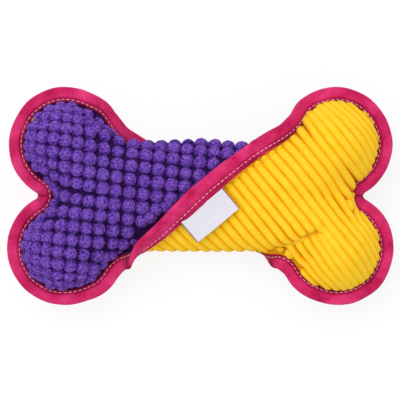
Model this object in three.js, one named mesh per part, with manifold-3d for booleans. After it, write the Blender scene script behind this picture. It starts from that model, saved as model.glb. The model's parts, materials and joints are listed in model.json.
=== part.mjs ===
// A stuffed, bone-shaped squeaky dog toy with a half twist at its waist.
// Two bone-shaped fabric panels are bound together round their edge with a folded tape,
// turned half a turn between the two ends, filled with fibre and fitted with a squeaker.
// Millimetres. X runs along the bone, Y across it, Z up; the toy lies on its four lobes at Z = 0.
import * as THREE from "three";
import { mergeVertices } from "three/addons/utils/BufferGeometryUtils.js";
import Module from "manifold-3d";

const wasm = await Module();
wasm.setup();

// Flat bone pattern, taken on the seam line where the two panels enter the binding
const LOBE_RADIUS = 30.2;
const LOBE_REACH = 102.6; // lobe centre from the middle of the bone, along X
const LOBE_SPREAD = 39.2; // lobe centre from the long axis, along Y
const NECK_RADIUS = 25; // fillet between a lobe and the shaft
const SHAFT_HALF_WIDTH = 42;
const NOTCH_FOLD_RADIUS = 3; // outer edge of the binding where two lobes meet
const FORK_REACH = 60; // where the ridge of the stuffed body forks to the two lobes

// Stuffed depth on each side of the seam plane
const LOBE_DEPTH = 31;
const WAIST_DEPTH = 19.5;
const WAIST_HALF_LENGTH = 25; // the waist keeps its depth this far from the middle
const FOOT_FLAT = 0.5; // depth cut flat under each lobe
const FOOT_PRESS = 1; // the cover is pressed onto the surface up to this height under each lobe

// Half twist: the front seam climbs from the lower edge to the upper edge over this span of X
const TWIST_START = -62;
const TWIST_END = 80;
const TWIST_EASE = 0.04; // quickens the turn near the two edges
const TWIST_SOFTNESS = 4; // rounds the start and the end of the turn, along X
const LAY_ANGLE = THREE.MathUtils.degToRad(90); // binding folded down on the waist
const FLIP_START = 0; // share of the twist at which the binding starts to turn over
const FLIP_END = 0.16;

// Panels and binding
const BACKING_THICKNESS = 2; // cloth and the roots of the pile of either fabric
const PILE_HEIGHT = 3; // bobbles and ribs above the backing
const ALLOWANCE_THICKNESS = 0.9; // pressed fabric inside the binding
const TAPE_THICKNESS = 0.8;
const TAPE_SHOWN_ON_LOBE = 12; // the stuffed cover hides the rest of the tape there
const TAPE_SHOWN_ON_WAIST = 15;
const TAPE_FOLD_BEVEL = 1.2;
const STITCH_INSET = 3; // stitch line from the tape's inner edge
const THREAD_DIAMETER = 0.7;
const CLEARANCE = 0.3; // between separate pieces
const EDGE_GAP = 0.2; // from the seam plane to either panel's raw edge
const TAPE_INNER_EDGE = 1; // tape's inner edge from the seam
const EDGE_BEND = 0.5; // where the panels bend into their pressed edge, from the seam

// Where the sewn toy is drawn out of true: the middle of each pull, its size and how far it is felt
const PULLS = [
  { at: new THREE.Vector2(-67, 58), by: new THREE.Vector2(2.5, 5.5), over: 14 },
  { at: new THREE.Vector2(-66, -62), by: new THREE.Vector2(4, -4.5), over: 17 },
  { at: new THREE.Vector2(70, -60), by: new THREE.Vector2(-2, -2.5), over: 12 },
  { at: new THREE.Vector2(-115, 45), by: new THREE.Vector2(2, 0), over: 30 },
  { at: new THREE.Vector2(115, 48), by: new THREE.Vector2(-2, 0), over: 30 },
];

// Pile, laid out on the flat cloth: rows of bobbles on the purple panel, ribs on the yellow panel
const BOBBLE_ROW_PITCH = 10.1; // from bobble to bobble along a row
const BOBBLE_COLUMN_PITCH = 10.3; // from row to row
const BOBBLE_ROW_SLOPE = THREE.MathUtils.degToRad(-8.5);
const BOBBLE_COLUMN_LEAN = THREE.MathUtils.degToRad(-93);
const BOBBLE_START = new THREE.Vector2(-2, -4.9); // one bobble near the middle of the bone
const RIB_PITCH = 6.7;
const RIB_SLOPE = THREE.MathUtils.degToRad(-51.5);
const RIB_OFFSET = 0.8; // nearest rib from the middle of the bone
const RIB_STEP = 8; // facets along a rib
const EDGE_GATHER = 14; // cloth at a lobe's seam past what a view from above shows
const GATHER_SPAN = 5; // how far in from the outline most of it lies
const PILE_MARGIN = 1; // plain cloth at least, between the last pile and the seam

// Woven label, folded double and caught under the binding on the waist
const LABEL_LENGTH = 40;
const LABEL_DROP = 19;
const LABEL_THICKNESS = 0.7;
const LABEL_X = 0.4;
const LABEL_ROOT = 1.5; // hinge line from the tape's inner edge
const LABEL_LIFT = 0.6; // hinge line above the yellow panel's pressed edge
const LABEL_DROOP = THREE.MathUtils.degToRad(7);

// Squeaker, a soft blown bladder with a reed insert in its base
const BLADDER_RADIUS = 19;
const BLADDER_HEIGHT = 21;
const BLADDER_WALL = 1.2;
const BLADDER_BULGE = 1; // flexible side wall stands out by this much
const BLADDER_RIM = 5; // height of the base and of the top, without the flexible wall
const BLADDER_CORNER = 2;
const NECK_HEIGHT = 9;
const SLEEVE_OUTER_RADIUS = 4.1;
const SLEEVE_BORE_RADIUS = 3;
const SLEEVE_FLANGE_RADIUS = 6.5;
const SLEEVE_FLANGE_THICKNESS = 1;
const REED_LENGTH = 8.5;
const REED_WIDTH = 3.8;
const REED_THICKNESS = 0.3;
const REED_CLAMP = 3; // length of reed held between the tongue and the wedge
const TONGUE_LENGTH = 9;
const TONGUE_RELIEF = 1.2; // the tongue curves away from the reed's free end
const TONGUE_GROOVE_WIDTH = 1.6;
const TONGUE_GROOVE_DEPTH = 0.6;

// Mesh counts
const LOBE_STEPS = 9;
const NECK_STEPS = 4;
const SHAFT_STEPS = 8;
const SHAFT_CROWDING = 1.5; // brings the shaft's steps closer together near the neck
const BAND_STEPS = 4; // parts of a band of the cover in which the pile's places are looked up
const UNPULL_ROUNDS = 4; // tries that find where a spot lay before it was pulled
const OUTLINE_FINENESS = 5; // steps of the fine outline for each one of the seam
const THREAD_SIDES = 4;
const ROUND_STEPS = 32;
const SMALL_ROUND_STEPS = 20;

// Worked-out sizes
const SEAM_HEIGHT = LOBE_DEPTH - FOOT_FLAT;
const PANEL_THICKNESS = BACKING_THICKNESS + PILE_HEIGHT;
const TAPE_HALF = EDGE_GAP + ALLOWANCE_THICKNESS + CLEARANCE + TAPE_THICKNESS;
const THREAD_RADIUS = THREAD_DIAMETER / 2;
const THREAD_OFFSET = TAPE_HALF + CLEARANCE + THREAD_RADIUS;
const ALLOWANCE_OUTER = EDGE_GAP + ALLOWANCE_THICKNESS;
const LEG_INNER = ALLOWANCE_OUTER + CLEARANCE;
const STITCH_LINE = TAPE_INNER_EDGE + STITCH_INSET;
const NOTCH_RADIUS = TAPE_SHOWN_ON_LOBE + NOTCH_FOLD_RADIUS;
const QUARTER_TURN = Math.PI / 2;

const { clamp, lerp, smoothstep } = THREE.MathUtils;

// Depth of the stuffed body at a distance along the bone
function depthAt(x) {
  const swell = smoothstep(Math.abs(x), WAIST_HALF_LENGTH, LOBE_REACH);
  return lerp(WAIST_DEPTH, LOBE_DEPTH, swell);
}

// Share of the half twist that a seam has made, for the distance along its own climb.
// It is the mean of a plain eased turn over a short span, which rounds both of its ends.
function turnShare(along) {
  const span = TWIST_END - TWIST_START;
  const soft = TWIST_SOFTNESS / span;
  const summed = (share) => {
    const inside = clamp(share, 0, 1);
    const eased = (TWIST_EASE * (1 - Math.cos(2 * Math.PI * inside))) / (2 * Math.PI);
    return inside ** 2 / 2 + eased + Math.max(share - 1, 0);
  };
  const share = (along - TWIST_START) / span;
  return (summed(share + soft) - summed(share - soft)) / (2 * soft);
}

// Angle of the climbing seam round the body: PI at the lower edge, 0 at the upper edge
function seamAngle(along) {
  return Math.PI * (1 - turnShare(along));
}

// How far sewing and stuffing by hand drew the toy out of true, at a spot seen from above
function pulled(spot) {
  const total = new THREE.Vector2();
  for (const { at, by, over } of PULLS) {
    total.addScaledVector(by, Math.exp(-spot.distanceToSquared(at) / over ** 2));
  }
  return total;
}

// Carries a point of the flat stuffed bone (x, w across, t through) to its place on the twisted toy.
// The front seam climbs with x; the back seam is the same curve turned half round the Y axis.
function twist(x, w, t) {
  const depth = depthAt(x);
  const across = w / SHAFT_HALF_WIDTH;
  const through = t / depth;
  const front = seamAngle(x);
  const back = -seamAngle(-x);
  const angle = Math.atan2(through, across);
  const spread = angle >= 0 ? front - back : 2 * Math.PI - front + back;
  const turned = back + (spread * angle) / Math.PI;
  const reach = Math.hypot(across, through);
  const spot = new THREE.Vector2(x, SHAFT_HALF_WIDTH * reach * Math.cos(turned));
  spot.add(pulled(spot));
  return new THREE.Vector3(spot.x, spot.y, depth * reach * Math.sin(turned) + SEAM_HEIGHT);
}

// One quarter of the flat seam, from the notch on the axis round a lobe to the middle of the shaft.
// Each sample holds its point, its outward normal and the point of the body's ridge that it faces.
function quarterSeam(fineness) {
  const lobe = new THREE.Vector2(-LOBE_REACH, LOBE_SPREAD);
  const fork = new THREE.Vector2(-FORK_REACH, 0);
  const notchReach = LOBE_RADIUS + NOTCH_RADIUS;
  const notch = new THREE.Vector2(-LOBE_REACH - Math.sqrt(notchReach ** 2 - LOBE_SPREAD ** 2), 0);
  const neckReach = LOBE_RADIUS + NECK_RADIUS;
  const neckY = SHAFT_HALF_WIDTH + NECK_RADIUS;
  const neckX = -LOBE_REACH + Math.sqrt(neckReach ** 2 - (neckY - LOBE_SPREAD) ** 2);
  const neck = new THREE.Vector2(neckX, neckY);
  const toNotch = notch.clone().sub(lobe).angle();
  const toNeck = neck.clone().sub(lobe).angle();
  const samples = [];
  const onArc = (centre, radius, angle, facing, ridge) => {
    const ray = new THREE.Vector2(Math.cos(angle), Math.sin(angle));
    const normal = ray.clone().multiplyScalar(facing);
    samples.push({ point: centre.clone().addScaledVector(ray, radius), normal, ridge });
  };
  const [neckSteps, lobeSteps, shaftSteps] = [NECK_STEPS, LOBE_STEPS, SHAFT_STEPS].map((n) => n * fineness);
  for (let i = 0; i < neckSteps; i++) {
    const share = i / neckSteps;
    onArc(notch, NOTCH_RADIUS, (toNotch - Math.PI) * share, -1, fork.clone().lerp(lobe, share));
  }
  for (let i = 0; i < lobeSteps; i++) {
    onArc(lobe, LOBE_RADIUS, lerp(toNotch, toNeck, i / lobeSteps), 1, lobe.clone());
  }
  for (let i = 0; i <= neckSteps; i++) {
    const share = i / neckSteps;
    const angle = lerp(toNeck + Math.PI, 3 * QUARTER_TURN, share);
    onArc(neck, NECK_RADIUS, angle, -1, lobe.clone().lerp(fork, share));
  }
  for (let i = 1; i <= shaftSteps; i++) {
    const share = (i / shaftSteps) ** SHAFT_CROWDING;
    samples.push({
      point: new THREE.Vector2(lerp(neckX, 0, share), SHAFT_HALF_WIDTH),
      normal: new THREE.Vector2(0, 1),
      ridge: new THREE.Vector2(lerp(-FORK_REACH, 0, share), 0),
    });
  }
  return samples;
}

// The whole flat seam as one loop, made from the quarter by mirroring
function flatSeam(fineness = 1) {
  const quarter = quarterSeam(fineness);
  const flip = (sample, sx, sy) => {
    const mirror = new THREE.Vector2(sx, sy);
    return {
      point: sample.point.clone().multiply(mirror),
      normal: sample.normal.clone().multiply(mirror),
      ridge: sample.ridge.clone().multiply(mirror),
    };
  };
  const back = quarter.slice(0, -1).reverse();
  return [
    ...quarter.map((sample) => flip(sample, 1, 1)),
    ...back.map((sample) => flip(sample, -1, 1)),
    ...quarter.slice(1).map((sample) => flip(sample, -1, -1)),
    ...back.slice(0, -1).map((sample) => flip(sample, 1, -1)),
  ];
}

// The seam on the twisted toy at one flat sample: its place, and the way that the binding stands there.
// "out" leaves the body, "purple" runs over the body to the purple side, "along" follows the seam.
function seamFrame({ point, normal }) {
  const STEP = 0.01;
  const at = (n, s, t) => {
    const x = point.x + n * normal.x - s * normal.y;
    const w = point.y + n * normal.y + s * normal.x;
    return twist(x, w, t);
  };
  const place = at(0, 0, 0);
  const along = at(0, STEP, 0).sub(at(0, -STEP, 0)).normalize();
  const out = at(STEP, 0, 0).sub(place);
  out.addScaledVector(along, -out.dot(along)).normalize();
  const purple = along.clone().cross(out);
  if (purple.dot(at(0, 0, STEP).sub(place)) < 0) purple.negate();
  const climb = point.y < 0 ? point.x : -point.x;
  const share = (climb - TWIST_START) / (TWIST_END - TWIST_START);
  const lay = Math.min(LAY_ANGLE, seamAngle(climb)) * smoothstep(share, FLIP_START, FLIP_END);
  const reach = out.clone().multiplyScalar(Math.cos(lay)).addScaledVector(purple, Math.sin(lay));
  const face = out.clone().multiplyScalar(Math.sin(lay)).addScaledVector(purple, -Math.cos(lay));
  const lift = (THREAD_OFFSET + THREAD_RADIUS) * Math.sin(lay) + CLEARANCE;
  const base = place.clone().addScaledVector(out, lift);
  const shown = lerp(TAPE_SHOWN_ON_LOBE, TAPE_SHOWN_ON_WAIST, lay / LAY_ANGLE);
  return { place, along, out, reach, face, base, shown };
}

// A point of the binding: f out from the seam across the tape, t through it towards the yellow side
function bindingPoint(frame, f, t) {
  return frame.base.clone().addScaledVector(frame.reach, f).addScaledVector(frame.face, t);
}

// How far the panels' pressed edge reaches into the fold of the tape
function allowanceReach(frame) {
  return frame.shown - TAPE_THICKNESS - TAPE_FOLD_BEVEL;
}

const SEAM = flatSeam();
const FRAMES = SEAM.map(seamFrame);

// A ring of the stuffed body: rise runs from 0 on the seam to a quarter turn on the ridge,
// negative on the yellow side, and inset draws the ring inwards.
function bodyRing(rise, inset) {
  return SEAM.map(({ point, ridge }) => {
    const span = point.clone().sub(ridge);
    const flat = ridge.clone().addScaledVector(span, Math.cos(rise) * (1 - inset / span.length()));
    return twist(flat.x, flat.y, (depthAt(flat.x) - inset) * Math.sin(rise));
  });
}

// Three-sided faces between rings of equal count, each ring a loop.
// "joined" also joins the last ring to the first.
// The bands that "crossed" lists have their four-sided faces split along the other diagonal: faces of two
// pieces, or of two sides of one, then stay parallel where their rings run opposite ways.
function bandFaces(rings, joined, crossed = []) {
  const faces = [];
  const bands = joined ? rings.length : rings.length - 1;
  for (let k = 0; k < bands; k++) {
    const [low, high] = [rings[k], rings[(k + 1) % rings.length]];
    for (let i = 0; i < low.length; i++) {
      const j = (i + 1) % low.length;
      const [a, b, c, d] = [low[i], low[j], high[j], high[i]];
      faces.push(...(crossed.includes(k) ? [[a, b, d], [b, c, d]] : [[a, b, c], [a, c, d]]));
    }
  }
  return faces;
}

// A closed geometry from faces, each a list of three corners
function closed(faces) {
  const geometry = new THREE.BufferGeometry().setFromPoints(faces.flat());
  return outward(geometry);
}

function skin(rings, joined, crossed) {
  return closed(bandFaces(rings, joined, crossed));
}

// Merges shared corners, drops faces that closed up, and turns the faces to point out
function outward(geometry) {
  geometry.deleteAttribute("normal");
  geometry.deleteAttribute("uv");
  const merged = mergeVertices(geometry, 1e-3);
  const old = merged.index.array;
  const kept = [];
  for (let i = 0; i < old.length; i += 3) {
    const [a, b, c] = [old[i], old[i + 1], old[i + 2]];
    if (a !== b && b !== c && a !== c) kept.push(a, b, c);
  }
  merged.setIndex(kept);
  if (signedVolume(merged) < 0) {
    for (let i = 0; i < kept.length; i += 3) [kept[i + 1], kept[i + 2]] = [kept[i + 2], kept[i + 1]];
    merged.setIndex(kept);
  }
  return merged;
}

function signedVolume(geometry) {
  const position = geometry.getAttribute("position");
  const index = geometry.index.array;
  const corner = (i) => new THREE.Vector3().fromBufferAttribute(position, index[i]);
  let volume = 0;
  for (let i = 0; i < index.length; i += 3) {
    volume += corner(i).dot(corner(i + 1).cross(corner(i + 2))) / 6;
  }
  return volume;
}

// Boolean cuts: a geometry as a solid, and a solid as a geometry
function solidOf(geometry) {
  const merged = outward(geometry.index ? geometry.clone() : mergeVertices(geometry.clone()));
  return new wasm.Manifold(
    new wasm.Mesh({
      numProp: 3,
      vertProperties: new Float32Array(merged.getAttribute("position").array),
      triVerts: new Uint32Array(merged.index.array),
    }),
  );
}

function geometryOf(solid) {
  const mesh = solid.getMesh();
  const geometry = new THREE.BufferGeometry();
  geometry.setAttribute("position", new THREE.Float32BufferAttribute(mesh.vertProperties, 3));
  geometry.setIndex([...mesh.triVerts]);
  return geometry;
}

function boxBetween(low, high) {
  const size = high.clone().sub(low);
  const middle = low.clone().add(high).multiplyScalar(0.5);
  return new THREE.BoxGeometry(size.x, size.y, size.z).translate(middle.x, middle.y, middle.z);
}

// A round piece from its closed outline of radius and height, standing on Z at the squeaker's centre
function turned(outline, steps) {
  const points = [...outline, outline[0]].map(([radius, height]) => new THREE.Vector2(radius, height));
  const lathe = new THREE.LatheGeometry(points, steps);
  return outward(lathe.rotateX(QUARTER_TURN).translate(0, 0, SEAM_HEIGHT));
}

const OUTLINE = flatSeam(OUTLINE_FINENESS);

// The flat cloth's own measure at a place on a cover. Seen from above, cloth is shortened near the outline,
// where it dives to the seam; on the waist it runs on over the edge of the body to the other side.
function clothAt(place, side) {
  const spot = new THREE.Vector2(place.x, place.y);
  for (let n = 0; n < UNPULL_ROUNDS; n++) {
    const pull = pulled(spot);
    spot.set(place.x - pull.x, place.y - pull.y);
  }
  const gaps = OUTLINE.map(({ point }) => point.distanceTo(spot));
  const gap = Math.min(...gaps);
  const { normal } = OUTLINE[gaps.indexOf(gap)];
  const fullness = (x) => EDGE_GATHER * (depthAt(x) / LOBE_DEPTH) ** 2;
  const along = clamp(spot.x, -FORK_REACH, FORK_REACH);
  spot.addScaledVector(normal, fullness(spot.x) * Math.exp(-gap / GATHER_SPAN));
  if (place.z < SEAM_HEIGHT) {
    const edge = SHAFT_HALF_WIDTH + fullness(along);
    spot.y = 2 * side * edge - spot.y;
  }
  return spot;
}

// Twice the area of a flat triangle, positive where its corners run anticlockwise
function turnOf(a, b, c) {
  return (b.x - a.x) * (c.y - a.y) - (c.x - a.x) * (b.y - a.y);
}

// Looks up a point of the flat cloth on a cover: its places on the tips of the pile and on the backing.
// The cover is given as rings of the tips and of the backing, from the ridge to the seam.
function coverFinder(tipRings, backRings, side) {
  const between = (rings, k, t) => rings[k].map((place, i) => place.clone().lerp(rings[k + 1][i], t));
  const grid = [];
  for (let k = 0; k + 1 < tipRings.length; k++) {
    for (let n = 0; n < BAND_STEPS + (k + 2 === tipRings.length ? 1 : 0); n++) {
      const backs = between(backRings, k, n / BAND_STEPS);
      const tips = between(tipRings, k, n / BAND_STEPS);
      grid.push(tips.map((tip, i) => ({ tip, back: backs[i], cloth: clothAt(tip, side) })));
    }
  }
  const patches = bandFaces(grid, false).map((corners) => {
    const [a, b, c] = corners.map(({ cloth }) => cloth);
    return { corners, a, b, c, area: turnOf(a, b, c), box: new THREE.Box2().setFromPoints([a, b, c]) };
  });
  const turn = Math.sign(patches.reduce((sum, { area }) => sum + area, 0));
  const find = (spot) => {
    for (const { corners, a, b, c, area, box } of patches) {
      if (area === 0 || !box.containsPoint(spot)) continue;
      const shares = [turnOf(spot, b, c) / area, turnOf(a, spot, c) / area, turnOf(a, b, spot) / area];
      if (Math.min(...shares) < 0) continue;
      const mix = (key) => {
        const place = new THREE.Vector3();
        corners.forEach((corner, n) => place.addScaledVector(corner[key], shares[n]));
        return place;
      };
      const [tip, back] = [mix("tip"), mix("back")];
      const free = smoothstep(tip.z, FOOT_PRESS, FOOT_PRESS + PILE_HEIGHT);
      if (tip.z < FOOT_PRESS) tip.z = -FOOT_FLAT;
      return { tip, back: tip.clone().lerp(back, free) };
    }
    return null;
  };
  return { find, turn, rim: grid[grid.length - 1] };
}

// Cells of a lattice that "isClear" keeps, each as its four corners' numbers. No two are left that meet at
// a corner alone.
function latticeCells(isClear, reach) {
  const cells = new Map();
  const key = (i, j) => `${i},${j}`;
  for (let i = -reach; i < reach; i++) {
    for (let j = -reach; j < reach; j++) {
      const corners = [[i, j], [i + 1, j], [i + 1, j + 1], [i, j + 1]];
      if (isClear(corners)) cells.set(key(i, j), corners);
    }
  }
  for (let dropped = true; dropped; ) {
    dropped = false;
    for (const [name, [[i, j]]] of cells) {
      for (const [di, dj] of [[1, 1], [1, -1]]) {
        const besides = cells.has(key(i + di, j)) || cells.has(key(i, j + dj));
        if (cells.has(key(i + di, j + dj)) && !besides) {
          cells.delete(name);
          dropped = true;
        }
      }
    }
  }
  return [...cells.values()];
}

// Closed loops of corner numbers round the outside of cells
function cellLoops(cells) {
  const next = new Map();
  const sides = cells.flatMap((corners) =>
    corners.map((corner, n) => [`${corner}`, `${corners[(n + 1) % 4]}`]),
  );
  const all = new Set(sides.map(([from, to]) => `${from};${to}`));
  for (const [from, to] of sides) if (!all.has(`${to};${from}`)) next.set(from, to);
  const loops = [];
  while (next.size) {
    const loop = [];
    for (let at = next.keys().next().value; next.has(at); ) {
      loop.push(at);
      const to = next.get(at);
      next.delete(at);
      at = to;
    }
    loops.push(loop);
  }
  return loops;
}

// Flat three-sided faces, as numbers of their corners, with the diagonals changed that make narrow faces
function evened(spots, faces) {
  const cornerAngle = (at, from, to) => {
    const [u, v] = [spots[from].clone().sub(spots[at]), spots[to].clone().sub(spots[at])];
    return Math.abs(Math.atan2(u.cross(v), u.dot(v)));
  };
  const turned = (a, b, c) => turnOf(spots[a], spots[b], spots[c]) > 1e-6;
  for (let changed = true, rounds = 0; changed && rounds < 100; rounds++) {
    changed = false;
    const edges = new Map();
    faces.forEach((face, f) => {
      face.forEach((from, n) => edges.set(`${from},${face[(n + 1) % 3]}`, [f, face[(n + 2) % 3]]));
    });
    const touched = new Set();
    for (const [name, [f, top]] of edges) {
      const [from, to] = name.split(",").map(Number);
      const other = edges.get(`${to},${from}`);
      if (!other || touched.has(f) || touched.has(other[0])) continue;
      const [g, foot] = other;
      const narrow = cornerAngle(top, from, to) + cornerAngle(foot, from, to) > Math.PI + 1e-9;
      if (!narrow || !turned(foot, to, top) || !turned(top, from, foot)) continue;
      faces[f] = [foot, to, top];
      faces[g] = [top, from, foot];
      touched.add(f).add(g);
      changed = true;
    }
  }
  return faces;
}

// The outside of a panel with its pile: cells of the lattice, and plain cloth from them to the seam.
// A cell's corner numbers give its place on the cloth; "tops" tells which corners stand on tips, and
// "peaked" puts one more tip in the middle of each cell. The pile ends level with the plain cloth.
function pileFaces(cover, place, tops, peaked) {
  const rim = cover.rim.map(({ cloth }) => cloth);
  const reach = Math.ceil((4 * LOBE_REACH) / Math.min(place(1, 0).distanceTo(place(0, 0)), RIB_STEP));
  const rimGap = (spot) =>
    Math.min(...rim.map((from, n) => {
      const to = rim[(n + 1) % rim.length];
      const edge = to.clone().sub(from);
      const share = clamp(spot.clone().sub(from).dot(edge) / edge.lengthSq(), 0, 1);
      return from.clone().addScaledVector(edge, share).distanceTo(spot);
    }));
  const found = new Map();
  const corner = (i, j) => {
    const name = `${i},${j}`;
    if (!found.has(name)) {
      const spot = place(i, j);
      const both = cover.find(spot);
      const kept = both && rimGap(spot) > PILE_MARGIN;
      found.set(name, kept ? { spot, tip: both.tip, place: tops(i, j) ? both.tip : both.back } : null);
    }
    return found.get(name);
  };
  const crosses = (a, b, c, d) =>
    turnOf(a, b, c) * turnOf(a, b, d) < 0 && turnOf(c, d, a) * turnOf(c, d, b) < 0;
  const isClear = (corners) => {
    const ends = corners.map(([i, j]) => corner(i, j));
    if (ends.includes(null)) return false;
    const meetsRim = ({ spot }, n) =>
      rim.some((from, m) => crosses(spot, ends[(n + 1) % 4].spot, from, rim[(m + 1) % rim.length]));
    return !ends.some(meetsRim);
  };
  const cells = latticeCells(isClear, reach);
  const loops = cellLoops(cells).map((loop) => loop.map((name) => found.get(name)));
  for (const end of loops.flat()) end.place = end.tip;
  const faces = [];
  for (const corners of cells) {
    const round = corners.map(([i, j]) => corner(i, j).place);
    const middle = cover.find(place(corners[0][0] + 0.5, corners[0][1] + 0.5));
    if (peaked && middle) round.forEach((from, n) => faces.push([from, round[(n + 1) % 4], middle.tip]));
    else faces.push([round[0], round[1], round[2]], [round[0], round[2], round[3]]);
  }
  const area = (loop) => THREE.ShapeUtils.area(loop.map(({ spot }) => spot));
  const edge = cover.rim.map(({ cloth, tip }) => ({ spot: cloth, place: tip }));
  const outside = [edge, loops.filter((loop) => area(loop) > 0)];
  const gaps = loops.filter((loop) => area(loop) < 0).map((loop) => [loop, []]);
  for (const [contour, holes] of [outside, ...gaps]) {
    const joined = [contour, ...holes].flat();
    const spots = joined.map(({ spot }) => spot);
    const spotsOf = (loop) => loop.map(({ spot }) => spot);
    const flat = THREE.ShapeUtils.triangulateShape(spotsOf(contour), holes.map(spotsOf));
    const turn = flat.reduce((sum, [a, b, c]) => sum + turnOf(spots[a], spots[b], spots[c]), 0);
    const upright = turn > 0 ? flat : flat.map(([a, b, c]) => [a, c, b]);
    for (const face of evened(spots, upright)) faces.push(face.map((n) => joined[n].place));
  }
  return cover.turn > 0 ? faces : faces.map(([a, b, c]) => [a, c, b]);
}

const unitAt = (angle) => new THREE.Vector2(Math.cos(angle), Math.sin(angle));

// A corner between four bobbles, counted along their rows and up their columns
function bobbleCorner(i, j) {
  const row = unitAt(BOBBLE_ROW_SLOPE).multiplyScalar(BOBBLE_ROW_PITCH);
  const column = unitAt(BOBBLE_COLUMN_LEAN).multiplyScalar(-BOBBLE_COLUMN_PITCH);
  return BOBBLE_START.clone().addScaledVector(row, i - 0.5).addScaledVector(column, j - 0.5);
}

// A point on a rib's top line or in the groove beside it, counted across the ribs and up along them
function ribCorner(i, j) {
  const across = unitAt(RIB_SLOPE + QUARTER_TURN).multiplyScalar(RIB_OFFSET + (i * RIB_PITCH) / 2);
  return across.addScaledVector(unitAt(RIB_SLOPE), -j * RIB_STEP);
}

const isRibTop = (i) => i % 2 === 0;

// A fabric panel: the stuffed outside, the pressed edge inside the binding, and the lining side.
// Side is 1 for purple and -1 for yellow.
function panelGeometry(side) {
  const startRise = Math.asin(ALLOWANCE_OUTER / LOBE_DEPTH);
  const liningRise = Math.asin(EDGE_GAP / (LOBE_DEPTH - PANEL_THICKNESS));
  const outerRises = [90, 78, 52, 26].map(THREE.MathUtils.degToRad);
  const liningRises = [26, 52, 90].map(THREE.MathUtils.degToRad);
  const edgeRing = (reachOf, through) =>
    FRAMES.map((frame) => bindingPoint(frame, reachOf(frame), -side * through));
  const rises = [...outerRises, startRise];
  const tipRings = rises.map((rise) => bodyRing(side * rise, 0));
  const backRings = rises.map((rise) => bodyRing(side * rise, PILE_HEIGHT));
  const cover = coverFinder(tipRings, backRings, side);
  const outside =
    side > 0
      ? pileFaces(cover, bobbleCorner, () => false, true)
      : pileFaces(cover, ribCorner, isRibTop, false);
  const rings = [
    tipRings[tipRings.length - 1],
    edgeRing(() => EDGE_BEND, ALLOWANCE_OUTER),
    edgeRing(allowanceReach, ALLOWANCE_OUTER),
    edgeRing(allowanceReach, EDGE_GAP),
    edgeRing(() => EDGE_BEND, EDGE_GAP),
    bodyRing(side * liningRise, PANEL_THICKNESS),
    ...liningRises.map((rise) => bodyRing(side * rise, PANEL_THICKNESS)),
  ];
  const bandsFrom = (first, last) => rings.map((ring, k) => k).filter((k) => k >= first && k <= last);
  const rawEdge = 3;
  const liningFoot = rawEdge + 2;
  const pressed = bandsFrom(rawEdge, liningFoot - 1);
  const lining = side > 0 ? [] : bandsFrom(liningFoot, rings.length);
  const floor = boxBetween(
    new THREE.Vector3(-2 * LOBE_REACH, -2 * LOBE_REACH, -LOBE_DEPTH),
    new THREE.Vector3(2 * LOBE_REACH, 2 * LOBE_REACH, 0),
  );
  const inside = bandFaces(rings, false, [...pressed, ...lining]);
  return geometryOf(solidOf(closed([...outside, ...inside])).subtract(solidOf(floor)));
}

// The binding: a tape folded in a U over both raw edges, all round the seam
function bindingGeometry() {
  const outline = (frame) => {
    const fold = frame.shown;
    const bend = fold - TAPE_FOLD_BEVEL;
    const inside = fold - TAPE_THICKNESS;
    return [
      [TAPE_INNER_EDGE, TAPE_HALF],
      [STITCH_LINE, TAPE_HALF],
      [bend, TAPE_HALF],
      [fold, TAPE_HALF - TAPE_FOLD_BEVEL],
      [fold, TAPE_FOLD_BEVEL - TAPE_HALF],
      [bend, -TAPE_HALF],
      [STITCH_LINE, -TAPE_HALF],
      [TAPE_INNER_EDGE, -TAPE_HALF],
      [TAPE_INNER_EDGE, -LEG_INNER],
      [allowanceReach(frame), -LEG_INNER],
      [inside, -LEG_INNER],
      [inside, LEG_INNER],
      [allowanceReach(frame), LEG_INNER],
      [TAPE_INNER_EDGE, LEG_INNER],
    ];
  };
  const sections = FRAMES.map((frame) => outline(frame).map(([f, t]) => bindingPoint(frame, f, t)));
  const rings = sections[0].map((point, k) => sections.map((section) => section[k]));
  const inward = outline(FRAMES[0]).map(([f], k, all) => (all[(k + 1) % all.length][0] < f ? k : -1));
  return skin(rings, true, inward);
}

// One thread of the lockstitch, run round the whole binding on one face of the tape
function threadGeometry(side) {
  const section = (frame) =>
    Array.from({ length: THREAD_SIDES }, (_, i) => {
      const angle = (2 * Math.PI * i) / THREAD_SIDES;
      const f = STITCH_LINE + THREAD_RADIUS * Math.cos(angle);
      return bindingPoint(frame, f, side * THREAD_OFFSET + THREAD_RADIUS * Math.sin(angle));
    });
  return skin(FRAMES.map(section), true);
}

// Fibre filling of one end, from the waist outwards, with its half of the squeaker's pocket
function stuffingGeometry(end) {
  const inset = PANEL_THICKNESS + CLEARANCE;
  const rises = [-90, -52, -26, 0, 26, 52, 90].map(THREE.MathUtils.degToRad);
  const whole = solidOf(skin(rises.map((rise) => bodyRing(rise, inset)), false));
  const pocketRadius = BLADDER_RADIUS + BLADDER_BULGE + CLEARANCE;
  const top = BLADDER_HEIGHT / 2 + CLEARANCE;
  const bottom = -BLADDER_HEIGHT / 2 - SLEEVE_FLANGE_THICKNESS - 2 * CLEARANCE;
  const pocket = turned(
    [
      [0, bottom],
      [pocketRadius, bottom],
      [pocketRadius, top],
      [0, top],
    ],
    ROUND_STEPS,
  );
  const half = boxBetween(
    new THREE.Vector3(CLEARANCE / 2, -2 * LOBE_REACH, -LOBE_DEPTH),
    new THREE.Vector3(2 * LOBE_REACH, 2 * LOBE_REACH, 3 * LOBE_DEPTH),
  );
  if (end < 0) half.rotateZ(Math.PI);
  return geometryOf(whole.intersect(solidOf(half)).subtract(solidOf(pocket)));
}

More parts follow.
